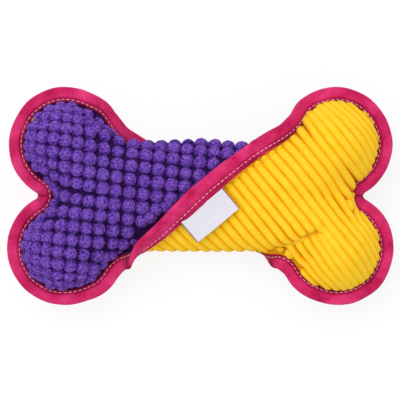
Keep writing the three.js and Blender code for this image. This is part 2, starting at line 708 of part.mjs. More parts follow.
// The label hangs from the tape's inner edge over the yellow panel; its frame is the hinge's frame
function labelMesh(material) {
  const waistFrame = (x) =>
    seamFrame({
      point: new THREE.Vector2(x, -SHAFT_HALF_WIDTH),
      normal: new THREE.Vector2(0, -1),
    });
  const middle = waistFrame(LABEL_X);
  const halfSpan = (LABEL_LENGTH / 2) * Math.abs(middle.along.x);
  const across = waistFrame(LABEL_X + halfSpan).base.sub(waistFrame(LABEL_X - halfSpan).base).normalize();
  const normal = middle.face.clone().addScaledVector(across, -middle.face.dot(across)).normalize();
  const down = normal.clone().cross(across);
  const droop = new THREE.Matrix4().makeRotationX(-LABEL_DROOP);
  const hinge = bindingPoint(middle, TAPE_INNER_EDGE - LABEL_ROOT, ALLOWANCE_OUTER + LABEL_LIFT);
  const sheet = new THREE.BoxGeometry(LABEL_LENGTH, LABEL_DROP, LABEL_THICKNESS);
  const mesh = new THREE.Mesh(sheet.translate(0, -LABEL_DROP / 2, 0), material);
  mesh.matrixAutoUpdate = false;
  mesh.matrix.makeBasis(across, down, normal).setPosition(hinge).multiply(droop);
  return mesh;
}

// Heights in the squeaker, from its centre
const BASE_BOTTOM = -BLADDER_HEIGHT / 2;
const BASE_RIM_TOP = BASE_BOTTOM + BLADDER_RIM;
const NECK_BORE_RADIUS = SLEEVE_OUTER_RADIUS + CLEARANCE;
const SLEEVE_BOTTOM = BASE_BOTTOM - CLEARANCE - SLEEVE_FLANGE_THICKNESS;
const REED_BOTTOM = SLEEVE_BOTTOM + CLEARANCE;
const INSERT_RADIUS = SLEEVE_BORE_RADIUS - CLEARANCE;
const REED_SEAT = REED_THICKNESS / 2 + CLEARANCE; // tongue and wedge faces from the reed's middle

// Dish of the bladder, from its flat outside to its rim; a bore through the flat side holds the neck
function dishOutline(bore) {
  const inner = BLADDER_RADIUS - BLADDER_WALL;
  const innerCorner = BLADDER_CORNER - BLADDER_WALL / 2;
  return [
    [bore, BASE_BOTTOM],
    [BLADDER_RADIUS - BLADDER_CORNER, BASE_BOTTOM],
    [BLADDER_RADIUS, BASE_BOTTOM + BLADDER_CORNER],
    [BLADDER_RADIUS, BASE_RIM_TOP],
    [inner, BASE_RIM_TOP],
    [inner, BASE_BOTTOM + BLADDER_WALL + innerCorner],
    [inner - innerCorner, BASE_BOTTOM + BLADDER_WALL],
  ];
}

function squeakerBaseGeometry() {
  const neckOuter = NECK_BORE_RADIUS + BLADDER_WALL;
  const neckTop = BASE_BOTTOM + NECK_HEIGHT;
  return turned(
    [
      ...dishOutline(NECK_BORE_RADIUS),
      [neckOuter, BASE_BOTTOM + BLADDER_WALL],
      [neckOuter, neckTop],
      [NECK_BORE_RADIUS, neckTop],
    ],
    ROUND_STEPS,
  );
}

function squeakerTopGeometry() {
  const outline = [...dishOutline(0), [0, BASE_BOTTOM + BLADDER_WALL]];
  return turned(outline.map(([radius, height]) => [radius, -height]), ROUND_STEPS);
}

function squeakerWallGeometry() {
  const end = -BASE_RIM_TOP - CLEARANCE;
  const inner = BLADDER_RADIUS - BLADDER_WALL;
  return turned(
    [
      [BLADDER_RADIUS, -end],
      [BLADDER_RADIUS + BLADDER_BULGE, 0],
      [BLADDER_RADIUS, end],
      [inner, end],
      [inner + BLADDER_BULGE, 0],
      [inner, -end],
    ],
    ROUND_STEPS,
  );
}

function reedSleeveGeometry() {
  const sleeveTop = BASE_BOTTOM + NECK_HEIGHT;
  return turned(
    [
      [SLEEVE_BORE_RADIUS, SLEEVE_BOTTOM],
      [SLEEVE_FLANGE_RADIUS, SLEEVE_BOTTOM],
      [SLEEVE_FLANGE_RADIUS, SLEEVE_BOTTOM + SLEEVE_FLANGE_THICKNESS],
      [SLEEVE_OUTER_RADIUS, SLEEVE_BOTTOM + SLEEVE_FLANGE_THICKNESS],
      [SLEEVE_OUTER_RADIUS, sleeveTop],
      [SLEEVE_BORE_RADIUS, sleeveTop],
    ],
    SMALL_ROUND_STEPS,
  );
}

// A half-round insert in the sleeve's bore, cut from a round bar by its side outline in X and Z
function halfRound(outline) {
  const shape = new THREE.Shape(outline.map(([x, z]) => new THREE.Vector2(x, z)));
  const width = 4 * SLEEVE_BORE_RADIUS;
  const side = new THREE.ExtrudeGeometry(shape, { depth: width, bevelEnabled: false });
  side.rotateX(QUARTER_TURN).translate(0, width / 2, SEAM_HEIGHT);
  const bar = turned(
    [
      [0, REED_BOTTOM],
      [INSERT_RADIUS, REED_BOTTOM],
      [INSERT_RADIUS, REED_BOTTOM + TONGUE_LENGTH],
      [0, REED_BOTTOM + TONGUE_LENGTH],
    ],
    SMALL_ROUND_STEPS,
  );
  return solidOf(bar).intersect(solidOf(side));
}

// The tongue backs the reed, curves away from its free end and has an air groove up its face
function reedTongueGeometry() {
  const far = -2 * SLEEVE_BORE_RADIUS;
  const top = REED_BOTTOM + TONGUE_LENGTH;
  const tongue = halfRound([
    [far, REED_BOTTOM],
    [-REED_SEAT, REED_BOTTOM],
    [-REED_SEAT, REED_BOTTOM + REED_CLAMP],
    [-REED_SEAT - TONGUE_RELIEF / 3, (REED_BOTTOM + REED_CLAMP + top) / 2],
    [-REED_SEAT - TONGUE_RELIEF, top],
    [far, top],
  ]);
  const grooveBack = -REED_SEAT - TONGUE_RELIEF - TONGUE_GROOVE_DEPTH;
  const groove = boxBetween(
    new THREE.Vector3(grooveBack, -TONGUE_GROOVE_WIDTH / 2, SEAM_HEIGHT + REED_BOTTOM + REED_CLAMP),
    new THREE.Vector3(0, TONGUE_GROOVE_WIDTH / 2, SEAM_HEIGHT + top + CLEARANCE),
  );
  return geometryOf(tongue.subtract(solidOf(groove)));
}

// The wedge clamps the reed's root against the tongue
function reedWedgeGeometry() {
  const far = 2 * SLEEVE_BORE_RADIUS;
  const wedge = halfRound([
    [REED_SEAT, REED_BOTTOM],
    [far, REED_BOTTOM],
    [far, REED_BOTTOM + REED_CLAMP],
    [REED_SEAT, REED_BOTTOM + REED_CLAMP],
  ]);
  return geometryOf(wedge);
}

function reedGeometry() {
  const bottom = SEAM_HEIGHT + REED_BOTTOM;
  return boxBetween(
    new THREE.Vector3(-REED_THICKNESS / 2, -REED_WIDTH / 2, bottom),
    new THREE.Vector3(REED_THICKNESS / 2, REED_WIDTH / 2, bottom + REED_LENGTH),
  );
}

// Finishes
const finish = (color, roughness) => new THREE.MeshStandardMaterial({ color, roughness, metalness: 0 });
const purplePlush = finish(0x5c3792, 0.95);
const yellowCord = finish(0xfcc721, 0.85);
const pinkTape = finish(0xcf2b66, 0.8);
const paleThread = finish(0xf0c4d4, 0.6);
const whiteLabel = finish(0xe4e2ee, 0.8);
const whiteFibre = finish(0xf4f2ec, 1);
const softPlastic = finish(0xe8e8e4, 0.45);
const reedPlastic = finish(0xd9dde2, 0.4);
const reedFilm = finish(0xbfd0d8, 0.25);

const toy = new THREE.Group();

function addPiece(name, mesh) {
  mesh.name = name;
  toy.add(mesh);
}

const piece = (geometry, material) => new THREE.Mesh(geometry, material);

addPiece("purple_panel", piece(panelGeometry(1), purplePlush));
addPiece("yellow_panel", piece(panelGeometry(-1), yellowCord));
addPiece("edge_binding", piece(bindingGeometry(), pinkTape));
addPiece("needle_thread", piece(threadGeometry(1), paleThread));
addPiece("bobbin_thread", piece(threadGeometry(-1), paleThread));
addPiece("label", labelMesh(whiteLabel));
addPiece("left_stuffing", piece(stuffingGeometry(-1), whiteFibre));
addPiece("right_stuffing", piece(stuffingGeometry(1), whiteFibre));
addPiece("squeaker_base", piece(squeakerBaseGeometry(), softPlastic));
addPiece("squeaker_wall", piece(squeakerWallGeometry(), softPlastic));
addPiece("squeaker_top", piece(squeakerTopGeometry(), softPlastic));
addPiece("reed_sleeve", piece(reedSleeveGeometry(), reedPlastic));
addPiece("reed_tongue", piece(reedTongueGeometry(), reedPlastic));
addPiece("reed_wedge", piece(reedWedgeGeometry(), reedPlastic));
addPiece("reed", piece(reedGeometry(), reedFilm));

export default toy;
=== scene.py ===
import itertools
import json
import math

import bmesh
import bpy
import numpy as np
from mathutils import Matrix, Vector, noise
from mathutils.bvhtree import BVHTree
from mathutils.interpolate import poly_3d_calc
from mathutils.kdtree import KDTree

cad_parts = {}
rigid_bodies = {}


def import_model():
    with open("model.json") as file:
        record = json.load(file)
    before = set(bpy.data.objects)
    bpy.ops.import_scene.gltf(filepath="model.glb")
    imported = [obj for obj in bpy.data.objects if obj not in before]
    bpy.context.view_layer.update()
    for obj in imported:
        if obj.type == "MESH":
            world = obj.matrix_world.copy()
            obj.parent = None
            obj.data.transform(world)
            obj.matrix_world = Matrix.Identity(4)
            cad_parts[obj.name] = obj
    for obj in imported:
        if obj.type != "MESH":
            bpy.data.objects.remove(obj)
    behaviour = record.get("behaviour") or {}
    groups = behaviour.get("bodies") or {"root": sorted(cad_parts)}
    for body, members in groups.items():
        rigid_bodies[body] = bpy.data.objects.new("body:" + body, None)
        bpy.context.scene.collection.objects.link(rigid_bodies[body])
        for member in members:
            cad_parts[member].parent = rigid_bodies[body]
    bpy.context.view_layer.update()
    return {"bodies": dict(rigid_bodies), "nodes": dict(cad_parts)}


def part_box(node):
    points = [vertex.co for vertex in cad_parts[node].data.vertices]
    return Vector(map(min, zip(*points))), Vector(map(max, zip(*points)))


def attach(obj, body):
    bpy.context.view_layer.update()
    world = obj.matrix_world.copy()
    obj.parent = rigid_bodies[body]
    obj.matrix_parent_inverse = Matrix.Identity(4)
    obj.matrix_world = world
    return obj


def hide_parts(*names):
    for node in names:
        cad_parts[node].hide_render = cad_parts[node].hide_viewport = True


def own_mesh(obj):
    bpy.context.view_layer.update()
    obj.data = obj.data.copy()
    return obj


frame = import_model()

scene = bpy.context.scene

# The studio: a pale floor that runs out past the view, light from all round and one broad
# lamp above the upper left. The camera looks straight down on the toy lying on the floor.
VIEW_WIDTH = 0.300
VIEW_CENTRE = (-0.0004, -0.0030)
CAMERA_RISE = 1.3
CAMERA_FILM = 36
SEAM_HEIGHT = 0.0305
ROOM_LEVEL = 0.78
ROOM_WHITE = (1, 1, 1, 1)
LAMP_WATTS = 9.0
LAMP_SIZE = 0.9
LAMP_PLACE = Vector((-0.40, 0.55, 1.45))
FLOOR_GLOW = 0.84
FLOOR_ALBEDO = 0.17
FLOOR_BOUNCE = 0.8
FLOOR_REACH = 4


def paint(red, green, blue):
    """A colour from its 0 to 255 screen values, as a shader takes it."""
    shares = [level / 255 for level in (red, green, blue)]
    linear = [s / 12.92 if s <= 0.04045 else ((s + 0.055) / 1.055) ** 2.4 for s in shares]
    return (*linear, 1.0)


def add_node(tree, kind, inputs=None, **settings):
    """A node of a shader or geometry tree; an input takes a value or another node's output."""
    node = tree.nodes.new(kind)
    for name, value in settings.items():
        setattr(node, name, value)
    for name, value in (inputs or {}).items():
        socket = node.inputs[name]
        if isinstance(value, bpy.types.NodeSocket):
            tree.links.new(value, socket)
        else:
            socket.default_value = value
    return node


def reckon(tree, operation, *terms):
    """The outcome of one sum on values or other nodes' outputs."""
    return add_node(tree, "ShaderNodeMath", dict(enumerate(terms)), operation=operation).outputs[0]


def place_object(name, data):
    """A new object at the origin for a mesh, a lamp or a camera."""
    piece = bpy.data.objects.new(name, data)
    scene.collection.objects.link(piece)
    return piece


framed = {o.name for o in [*frame["nodes"].values(), *frame["bodies"].values()]}
for leftover in [o for o in bpy.data.objects if o.name not in framed]:
    bpy.data.objects.remove(leftover)

camera_lens = bpy.data.cameras.new("camera")
camera_lens.sensor_width = CAMERA_FILM
camera_lens.lens = CAMERA_FILM * CAMERA_RISE / VIEW_WIDTH
camera = place_object("camera", camera_lens)
camera.location = (*VIEW_CENTRE, SEAM_HEIGHT + CAMERA_RISE)
scene.camera = camera
scene.view_settings.view_transform = "Standard"

lamp_light = bpy.data.lights.new("lamp", "AREA")
lamp_light.energy = LAMP_WATTS
lamp_light.size = LAMP_SIZE
lamp = place_object("lamp", lamp_light)
lamp.location = LAMP_PLACE
lamp.rotation_euler = LAMP_PLACE.to_track_quat("Z", "Y").to_euler()


def seen_or_lighting(tree, seen, lighting, output):
    """Ends a tree with one shader for rays that show it, or its mirror image, and one for the rest."""
    path = add_node(tree, "ShaderNodeLightPath")
    direct = path.outputs["Is Camera Ray"]
    for other in ("Is Glossy Ray", "Is Transmission Ray"):
        direct = reckon(tree, "MAXIMUM", direct, path.outputs[other])
    shaders = {0: direct, 1: lighting.outputs[0], 2: seen.outputs[0]}
    mix = add_node(tree, "ShaderNodeMixShader", shaders)
    add_node(tree, output, {"Surface": mix.outputs[0]})


room = bpy.data.worlds.new("room")
room.use_nodes = True
room_tree = room.node_tree
room_tree.nodes.clear()
room_light = add_node(room_tree, "ShaderNodeBackground", {"Color": ROOM_WHITE, "Strength": ROOM_LEVEL})
room_seen = add_node(room_tree, "ShaderNodeBackground", {"Color": ROOM_WHITE, "Strength": 1.0})
seen_or_lighting(room_tree, room_seen, room_light, "ShaderNodeOutputWorld")
scene.world = room

floor_paint = bpy.data.materials.new("floor_paint")
floor_paint.use_nodes = True
floor_tree = floor_paint.node_tree
floor_tree.nodes.clear()
floor_matt = add_node(floor_tree, "ShaderNodeBsdfDiffuse", {"Color": (FLOOR_ALBEDO,) * 3 + (1,)})
floor_glow = add_node(floor_tree, "ShaderNodeEmission", {"Strength": FLOOR_GLOW})
floor_shaders = {0: floor_matt.outputs[0], 1: floor_glow.outputs[0]}
floor_seen = add_node(floor_tree, "ShaderNodeAddShader", floor_shaders)
floor_plain = add_node(floor_tree, "ShaderNodeBsdfDiffuse", {"Color": (FLOOR_BOUNCE,) * 3 + (1,)})
seen_or_lighting(floor_tree, floor_seen, floor_plain, "ShaderNodeOutputMaterial")
floor_sheet = bpy.data.meshes.new("floor")
floor_corners = [(x * FLOOR_REACH, y * FLOOR_REACH, 0) for x, y in ((-1, -1), (1, -1), (1, 1), (-1, 1))]
floor_sheet.from_pydata(floor_corners, [], [(0, 1, 2, 3)])
floor_sheet.materials.append(floor_paint)
floor = place_object("floor", floor_sheet)

# The purple side: a bone-shaped panel of knitted plush, sewn round its edge and stuffed full.
# Its backing is coloured dark as painted shade for the gaps between the bobbles, and rows of round bobbles
# of pile stand on it close together.
# The panel makes half a turn at the waist, so it faces up at the left and down at the right.
# The flat bone's outline, and how deep it is stuffed on each side.
LOBE_RADIUS = 0.0302
LOBE_REACH = 0.1026
LOBE_SPREAD = 0.0392
NECK_RADIUS = 0.025
SHAFT_HALF_WIDTH = 0.042
NOTCH_RADIUS = 0.015
FORK_REACH = 0.060
LOBE_DEPTH = 0.031
WAIST_DEPTH = 0.0195
WAIST_HALF_LENGTH = 0.025
# The half turn along the waist, and where the binding turns over from standing to lying.
TWIST_START = -0.062
TWIST_END = 0.080
TWIST_EASE = 0.04
TWIST_SOFTNESS = 0.004
LAY_ANGLE = math.radians(90)
FLIP_START = 0.0
FLIP_END = 0.16
# Where sewing by hand drew the outline: at a spot, by how far, and over what width.
PULLS = (
    ((-0.067, 0.058), (0.0025, 0.0055), 0.014),
    ((-0.066, -0.062), (0.0040, -0.0045), 0.017),
    ((0.070, -0.060), (-0.0020, -0.0025), 0.012),
    ((-0.115, 0.045), (0.0020, 0.0), 0.030),
    ((0.115, 0.048), (-0.0020, 0.0), 0.030),
)
# The seam, the binding's width past it, and the edge of the cloth inside the binding.
SEAM_LIFT = 0.0032
CLEARANCE = 0.0003
TAPE_SHOWN_ON_LOBE = 0.012
TAPE_SHOWN_ON_WAIST = 0.015
EDGE_START = 0.0005
EDGE_TUCKED = 0.006
EDGE_THROUGH = (0.0011, 0.0002)
# The cloth: its thickness, its gather beside the seam, its lie over the rim and the filling's lumps.
CLOTH_THICKNESS = 0.0012
CLOTH_SHINE = 0.1
SHEEN_SPREAD = 0.4
BACKING_WEAVE = 900
FLOOR_CONTACT = 0.0004
EDGE_GATHER = 0.014
GATHER_SPAN = 0.005
HOLLOW_FULLNESS = 0.5
HOLLOW_BLEND = 0.012
HOLLOW_BENDS = (2.0, 30.0)
RIM_RISES = (math.radians(5), math.radians(45))
EDGE_RISES = (math.radians(1.6), math.radians(6))
LUMP_SPAN = 0.028
LUMP_SHIFTS = (3.1, 1.7, 2.3)
LUMP_RISES = (0.1, 0.6)
COVER_SEED = 4
# How finely the forms are divided, and how near two points count as one.
COVER_RISES = np.radians([*np.linspace(90, 15, 22), 11, 8, 6, 4.5, 3, 1.5])
COVER_STEPS = (48, 14, 42)
OUTLINE_STEPS = (160, 48, 160)
TAPE_STEPS = (96, 22, 48)
MERGE_GAP = 1e-6
FOUND_GAP = 1e-5
FOUND_ERROR = 1e-3
# The plush, its bobbles and the small tufts that fill in beside the turned binding.
PLUSH_BACKING = 0.0042
PLUSH_RIM_LIFT = 0.2
PLUSH_LUMPS = 0.0012
BOBBLE_RADIUS = 0.0056
BOBBLE_ROW_PITCH = 0.0101
BOBBLE_COLUMN_PITCH = 0.0103
BOBBLE_ROW_SLOPE = math.radians(-8.5)
BOBBLE_COLUMN_LEAN = math.radians(-93)
BOBBLE_START = (-0.0020, -0.0049)
BOBBLES_ALONG = range(-20, 21)
BOBBLES_DOWN = range(-22, 14)
BOBBLE_SEAT = 0.0002
BOBBLE_SEAM_GAP = 0.0045
BOBBLE_TAPE_GAP = 0.0030
BOBBLE_SPREADS = (0.0066, 0.0083)
BOBBLE_VARIES = (0.94, 1.06)
BOBBLE_SPIN = 6.28
BOBBLE_RUFFLE = 0.0016
BOBBLE_RUFFLE_SCALE = 420.0
BOBBLE_SEED = 7
BOBBLE_TUFTS = 520
BOBBLE_PITS = 760
# The pile's colour by rise: painted shade low on each bobble and a painted highlight on its top.
BOBBLE_SHADE_RISES = (-0.25, 0.75)
BOBBLE_BASE_SHADE_WEIGHT = 0.62
BOBBLE_TUFT_WEIGHT = 1.5
TUFT_SIZE = 0.62
TUFT_SPREAD = 0.0046
TUFT_SEAM_GAP = 0.0022
TUFT_TURN = 0.8


def eased(value, low, high):
    """A share that goes smoothly from 0 at the low value to 1 at the high one."""
    share = np.clip((value - low) / (high - low), 0, 1)
    return share * share * (3 - 2 * share)


def bell(value, width):
    """1 where a value is 0, falling smoothly away on both sides over a width."""
    return np.exp(-((value / width) ** 2))


def depth_at(x):
    """Depth of the stuffed body on each side of the seam, along the bone."""
    swell = eased(np.abs(x), WAIST_HALF_LENGTH, LOBE_REACH)
    return WAIST_DEPTH + (LOBE_DEPTH - WAIST_DEPTH) * swell


def seam_angle(along):
    """Angle of the climbing seam round the body: half a turn at the lower edge, 0 at the upper."""
    span = TWIST_END - TWIST_START
    soft = TWIST_SOFTNESS / span

    def summed(share):
        """The turn gathered up to a share of the climb."""
        inside = np.clip(share, 0, 1)
        ease = TWIST_EASE * (1 - np.cos(2 * np.pi * inside)) / (2 * np.pi)
        return inside**2 / 2 + ease + np.maximum(share - 1, 0)

    share = (along - TWIST_START) / span
    return np.pi * (1 - (summed(share + soft) - summed(share - soft)) / (2 * soft))


def pulled(spots):
    """How far sewing and stuffing by hand drew the toy out of true, at spots seen from above."""
    total = np.zeros((len(spots), 2))
    for at, by, over in PULLS:
        share = np.exp(-np.sum((spots - at) ** 2, 1) / over**2)
        total += share[:, None] * by
    return total


def twisted(flat, through):
    """Carries points of the flat stuffed bone to their places on the twisted toy."""
    x, across = flat[:, 0], flat[:, 1] / SHAFT_HALF_WIDTH
    depth = depth_at(x)
    front, back = seam_angle(x), -seam_angle(-x)
    angle = np.arctan2(through / depth, across)
    spread = np.where(angle >= 0, front - back, 2 * np.pi - front + back)
    turned = back + spread * angle / np.pi
    reach = np.hypot(across, through / depth)
    spots = np.stack([x, SHAFT_HALF_WIDTH * reach * np.cos(turned)], 1)
    return np.column_stack([spots + pulled(spots), depth * reach * np.sin(turned) + SEAM_HEIGHT])


def flat_seam(lobe_steps, bend_steps, shaft_steps):
    """The flat outline as rows of point, outward normal and the ridge point that it faces."""
    lobe = np.array([-LOBE_REACH, LOBE_SPREAD])
    fork = np.array([-FORK_REACH, 0.0])
    notch_reach = LOBE_RADIUS + NOTCH_RADIUS
    notch = np.array([-LOBE_REACH - math.sqrt(notch_reach**2 - LOBE_SPREAD**2), 0.0])
    neck_y = SHAFT_HALF_WIDTH + NECK_RADIUS
    neck_reach = LOBE_RADIUS + NECK_RADIUS
    neck_x = -LOBE_REACH + math.sqrt(neck_reach**2 - (neck_y - LOBE_SPREAD) ** 2)
    neck = np.array([neck_x, neck_y])
    to_notch = math.atan2(*(notch - lobe)[::-1]) % (2 * math.pi)
    to_neck = math.atan2(*(neck - lobe)[::-1]) % (2 * math.pi)
    quarter = []

    def on_arc(centre, radius, angle, facing, ridge):
        """Adds one point of an arc to the quarter of the outline."""
        ray = np.array([math.cos(angle), math.sin(angle)])
        quarter.append([*(centre + radius * ray), *(facing * ray), *ridge])

    for share in np.arange(bend_steps) / bend_steps:
        on_arc(notch, NOTCH_RADIUS, (to_notch - math.pi) * share, -1, fork + (lobe - fork) * share)
    for share in np.arange(lobe_steps) / lobe_steps:
        on_arc(lobe, LOBE_RADIUS, to_notch + (to_neck - to_notch) * share, 1, lobe)
    for share in np.arange(bend_steps + 1) / bend_steps:
        start = to_neck + math.pi
        angle = start + (1.5 * math.pi - start) * share
        on_arc(neck, NECK_RADIUS, angle, -1, lobe + (fork - lobe) * share)
    for share in np.arange(1, shaft_steps + 1) / shaft_steps:
        quarter.append([neck_x * (1 - share), SHAFT_HALF_WIDTH, 0, 1, -FORK_REACH * (1 - share), 0])
    quarter = np.array(quarter)
    mirror_x, mirror_y = np.array([-1, 1] * 3), np.array([1, -1] * 3)
    returning = quarter[:-1][::-1]
    halves = [quarter, returning * mirror_x, quarter[1:] * mirror_x * mirror_y, returning[:-1] * mirror_y]
    rows = np.concatenate(halves)
    return rows[:, 0:2], rows[:, 2:4], rows[:, 4:6]


def unit(rows):
    """Rows of vectors, each made one long."""
    return rows / np.linalg.norm(rows, axis=1, keepdims=True)


def seam_frames(point, normal):
    """The seam on the twisted toy, with the way in which the binding stands at each sample."""
    step = 1e-5
    sideways = np.stack([-normal[:, 1], normal[:, 0]], 1)
    level = np.zeros(len(point))
    place = twisted(point, level)
    along = unit(twisted(point + step * sideways, level) - twisted(point - step * sideways, level))
    out = twisted(point + step * normal, level) - place
    out = unit(out - along * np.sum(out * along, 1, keepdims=True))
    purple = np.cross(along, out)
    upward = twisted(point, level + step) - place
    purple *= np.sign(np.sum(purple * upward, 1, keepdims=True))
    climb = np.where(point[:, 1] < 0, point[:, 0], -point[:, 0])
    share = (climb - TWIST_START) / (TWIST_END - TWIST_START)
    turned = eased(share, FLIP_START, FLIP_END)
    lay = np.minimum(LAY_ANGLE, seam_angle(climb)) * turned
    cosine, sine = np.cos(lay)[:, None], np.sin(lay)[:, None]
    shown = TAPE_SHOWN_ON_LOBE + (TAPE_SHOWN_ON_WAIST - TAPE_SHOWN_ON_LOBE) * lay / LAY_ANGLE
    return {
        "place": place,
        "along": along,
        "purple": purple,
        "reach": cosine * out + sine * purple,
        "face": sine * out - cosine * purple,
        "base": place + (SEAM_LIFT * sine + CLEARANCE) * out,
        "shown": shown,
        "lay": lay,
        "turned": turned,
    }


def binding_ring(frames, out, through):
    """Points of the binding, out from the seam and through the tape towards the yellow side."""
    out, through = np.broadcast_to(out, len(frames["lay"])), np.broadcast_to(through, len(frames["lay"]))
    return frames["base"] + out[:, None] * frames["reach"] + through[:, None] * frames["face"]


COVER_POINT, COVER_NORMAL, COVER_RIDGE = flat_seam(*COVER_STEPS)
COVER_FRAMES = seam_frames(COVER_POINT, COVER_NORMAL)


def body_ring(rise, side):
    """A ring of the stuffed body, at a rise that runs from 0 on the seam to a quarter turn on the ridge."""
    flat = COVER_RIDGE + (COVER_POINT - COVER_RIDGE) * math.cos(rise)
    return twisted(flat, side * depth_at(flat[:, 0]) * math.sin(rise))


def ring_faces(ring_count, count, joined=False):
    """Four-sided faces between rings of equal count, each ring a loop."""
    faces = []
    for k in range(ring_count if joined else ring_count - 1):
        low, high = k * count, (k + 1) % ring_count * count
        for i in range(count):
            j = (i + 1) % count
            faces.append((low + i, low + j, high + j, high + i))
    return faces


def nearest_of(spots):
    """A tree that looks up the nearest of some spots."""
    tree = KDTree(len(spots))
    for index, spot in enumerate(spots):
        tree.insert(spot, index)
    tree.balance()
    return tree


OUTLINE_POINT, OUTLINE_NORMAL, _ = flat_seam(*OUTLINE_STEPS)
outline_tree = nearest_of([(x, y, 0) for x, y in OUTLINE_POINT])


def outline_ease():
    """1 round the lobes and along the shaft, and less where the outline is hollow."""
    after = np.roll(OUTLINE_POINT, -1, 0)
    steps = np.linalg.norm(after - OUTLINE_POINT, axis=1)
    facing = np.roll(OUTLINE_NORMAL, -1, 0)
    turn = OUTLINE_NORMAL[:, 0] * facing[:, 1] - OUTLINE_NORMAL[:, 1] * facing[:, 0]
    turn *= np.sign(np.sum(turn))
    run = np.cumsum(steps)
    gap = np.abs(run[:, None] - run[None, :])
    weight = bell(np.minimum(gap, run[-1] - gap), HOLLOW_BLEND)
    bend = weight @ turn / (weight @ steps)
    return 1 - (1 - HOLLOW_FULLNESS) * eased(-bend, *HOLLOW_BENDS)


OUTLINE_EASE = outline_ease()


def fullness(x):
    """How much cloth at the seam lies past what a view from above shows."""
    return EDGE_GATHER * (depth_at(x) / LOBE_DEPTH) ** 2


def cloth_measure(places, side):
    """The flat cloth's own measure at places on a cover. Seen from above, cloth is shortened near the
    outline, where it dives to the seam; on the waist it runs on over the edge to the back."""
    found = []
    spots = places[:, :2]
    for _ in range(4):
        spots = places[:, :2] - pulled(spots)
    for (x, y), z in zip(spots, places[:, 2]):
        _, index, gap = outline_tree.find((x, y, 0))
        more = fullness(x) * OUTLINE_EASE[index] * math.exp(-gap / GATHER_SPAN)
        cloth_x, cloth_y = (x, y) + more * OUTLINE_NORMAL[index]
        if z < SEAM_HEIGHT:
            edge = SHAFT_HALF_WIDTH + fullness(min(abs(x), FORK_REACH)) * OUTLINE_EASE[index]
            cloth_y = 2 * side * edge - cloth_y
        found.append((cloth_x, cloth_y))
    return np.array(found)


def outward_normals(places, faces):
    """Smooth normals at the corners of faces; corners that share a place share a normal."""
    quads = np.array(faces)
    crossed = np.cross(places[quads[:, 2]] - places[quads[:, 0]], places[quads[:, 3]] - places[quads[:, 1]])
    merged = np.round(places * round(1 / MERGE_GAP)).astype(np.int64)
    shared = np.unique(merged, axis=0, return_inverse=True)[1].ravel()
    total = np.zeros_like(places)
    for corner in range(4):
        np.add.at(total, shared[quads[:, corner]], crossed)
    total = total[shared]
    return total / np.maximum(np.linalg.norm(total, axis=1, keepdims=True), 1e-12)


def lumpy(places, scale, size, seed):
    """Soft lumps of the filling: a smooth random height at each place."""
    shift = Vector([seed * part for part in LUMP_SHIFTS])
    return np.array([noise.noise(Vector(p) / scale + shift) for p in places]) * size


def stuffed_cover(side, backing, rim_lift, lumps, extra_push=None):
    """Outer rings of a panel from ridge to seam, with the cloth's measure and outward normals."""
    outer = np.concatenate([body_ring(r, side) for r in COVER_RISES])
    faces = ring_faces(len(COVER_RISES), len(COVER_POINT))
    if side < 0:
        faces = [face[::-1] for face in faces]
    normals = outward_normals(outer, faces)
    rise = np.repeat(COVER_RISES, len(COVER_POINT))
    push = lumpy(outer, LUMP_SPAN, lumps, COVER_SEED + side) * eased(np.sin(rise), *LUMP_RISES)
    if extra_push is not None:
        push = push + extra_push(outer)
    standing = np.tile(1 - COVER_FRAMES["lay"] / LAY_ANGLE, len(COVER_RISES))
    sunk = backing * eased(rise, 0, EDGE_RISES[0] + (EDGE_RISES[1] - EDGE_RISES[0]) * standing)
    places = outer + normals * (push - sunk)[:, None]
    places[:, 2] = np.maximum(places[:, 2], FLOOR_CONTACT + backing)
    lining = outer + normals * (push - sunk - CLOTH_THICKNESS)[:, None]
    lining[:, 2] = np.maximum(lining[:, 2], FLOOR_CONTACT + backing + CLOTH_THICKNESS)
    lifted = rim_lift * standing * (1 - eased(rise, *RIM_RISES))
    seats = outer + normals * (push - backing * (1 - lifted))[:, None]
    seats[:, 2] = np.maximum(seats[:, 2], FLOOR_CONTACT + backing)
    return {
        "outer": outer,
        "places": places,
        "seats": seats,
        "lining": lining,
        "faces": faces,
        "normals": outward_normals(seats, faces),
        "rings": len(COVER_RISES),
    }


def cover_finder(cover, side):
    """Looks up where pile at a point of the flat cloth is rooted on the front or the back of a cover.

    The look-up returns a place and a normal, or None where that face of the toy doesn't show the point.
    """
    cloth = cloth_measure(cover["outer"], side)
    flat = np.column_stack([cloth, np.zeros(len(cloth))])
    in_front = cover["outer"][np.array(cover["faces"])][:, :, 2].mean(1) >= SEAM_HEIGHT
    shown = {}
    for view, chosen in (("front", in_front), ("back", ~in_front)):
        faces = [face for face, kept in zip(cover["faces"], chosen) if kept]
        shown[view] = faces, BVHTree.FromPolygons(flat.tolist(), faces)

    def find(x, y, view):
        """The place and normal at a point of the flat cloth, or None."""
        faces, tree = shown[view]
        spot, _, index, gap = tree.find_nearest((x, y, 0))
        if gap > FOUND_GAP:
            return None
        corners = list(faces[index])
        shares = np.array(poly_3d_calc([Vector(flat[c]) for c in corners], spot))
        if not np.isfinite(shares).all() or abs(shares.sum() - 1) > FOUND_ERROR:
            return None
        lean = shares @ cover["normals"][corners]
        return shares @ cover["seats"][corners], lean / np.linalg.norm(lean)

    return find


def closed_shell(name, rings, faces, merge=False):
    """A smooth mesh from rings of points, with its doubles merged where asked and its faces outwards."""
    mesh = bpy.data.meshes.new(name)
    mesh.from_pydata(np.concatenate(rings).tolist(), [], faces)
    shell = bmesh.new()
    shell.from_mesh(mesh)
    if merge:
        bmesh.ops.remove_doubles(shell, verts=shell.verts, dist=MERGE_GAP)
    bmesh.ops.triangulate(shell, faces=[face for face in shell.faces if len(face.verts) > 4])
    bmesh.ops.recalc_face_normals(shell, faces=shell.faces)
    shell.to_mesh(mesh)
    shell.free()
    mesh.shade_smooth()
    return mesh


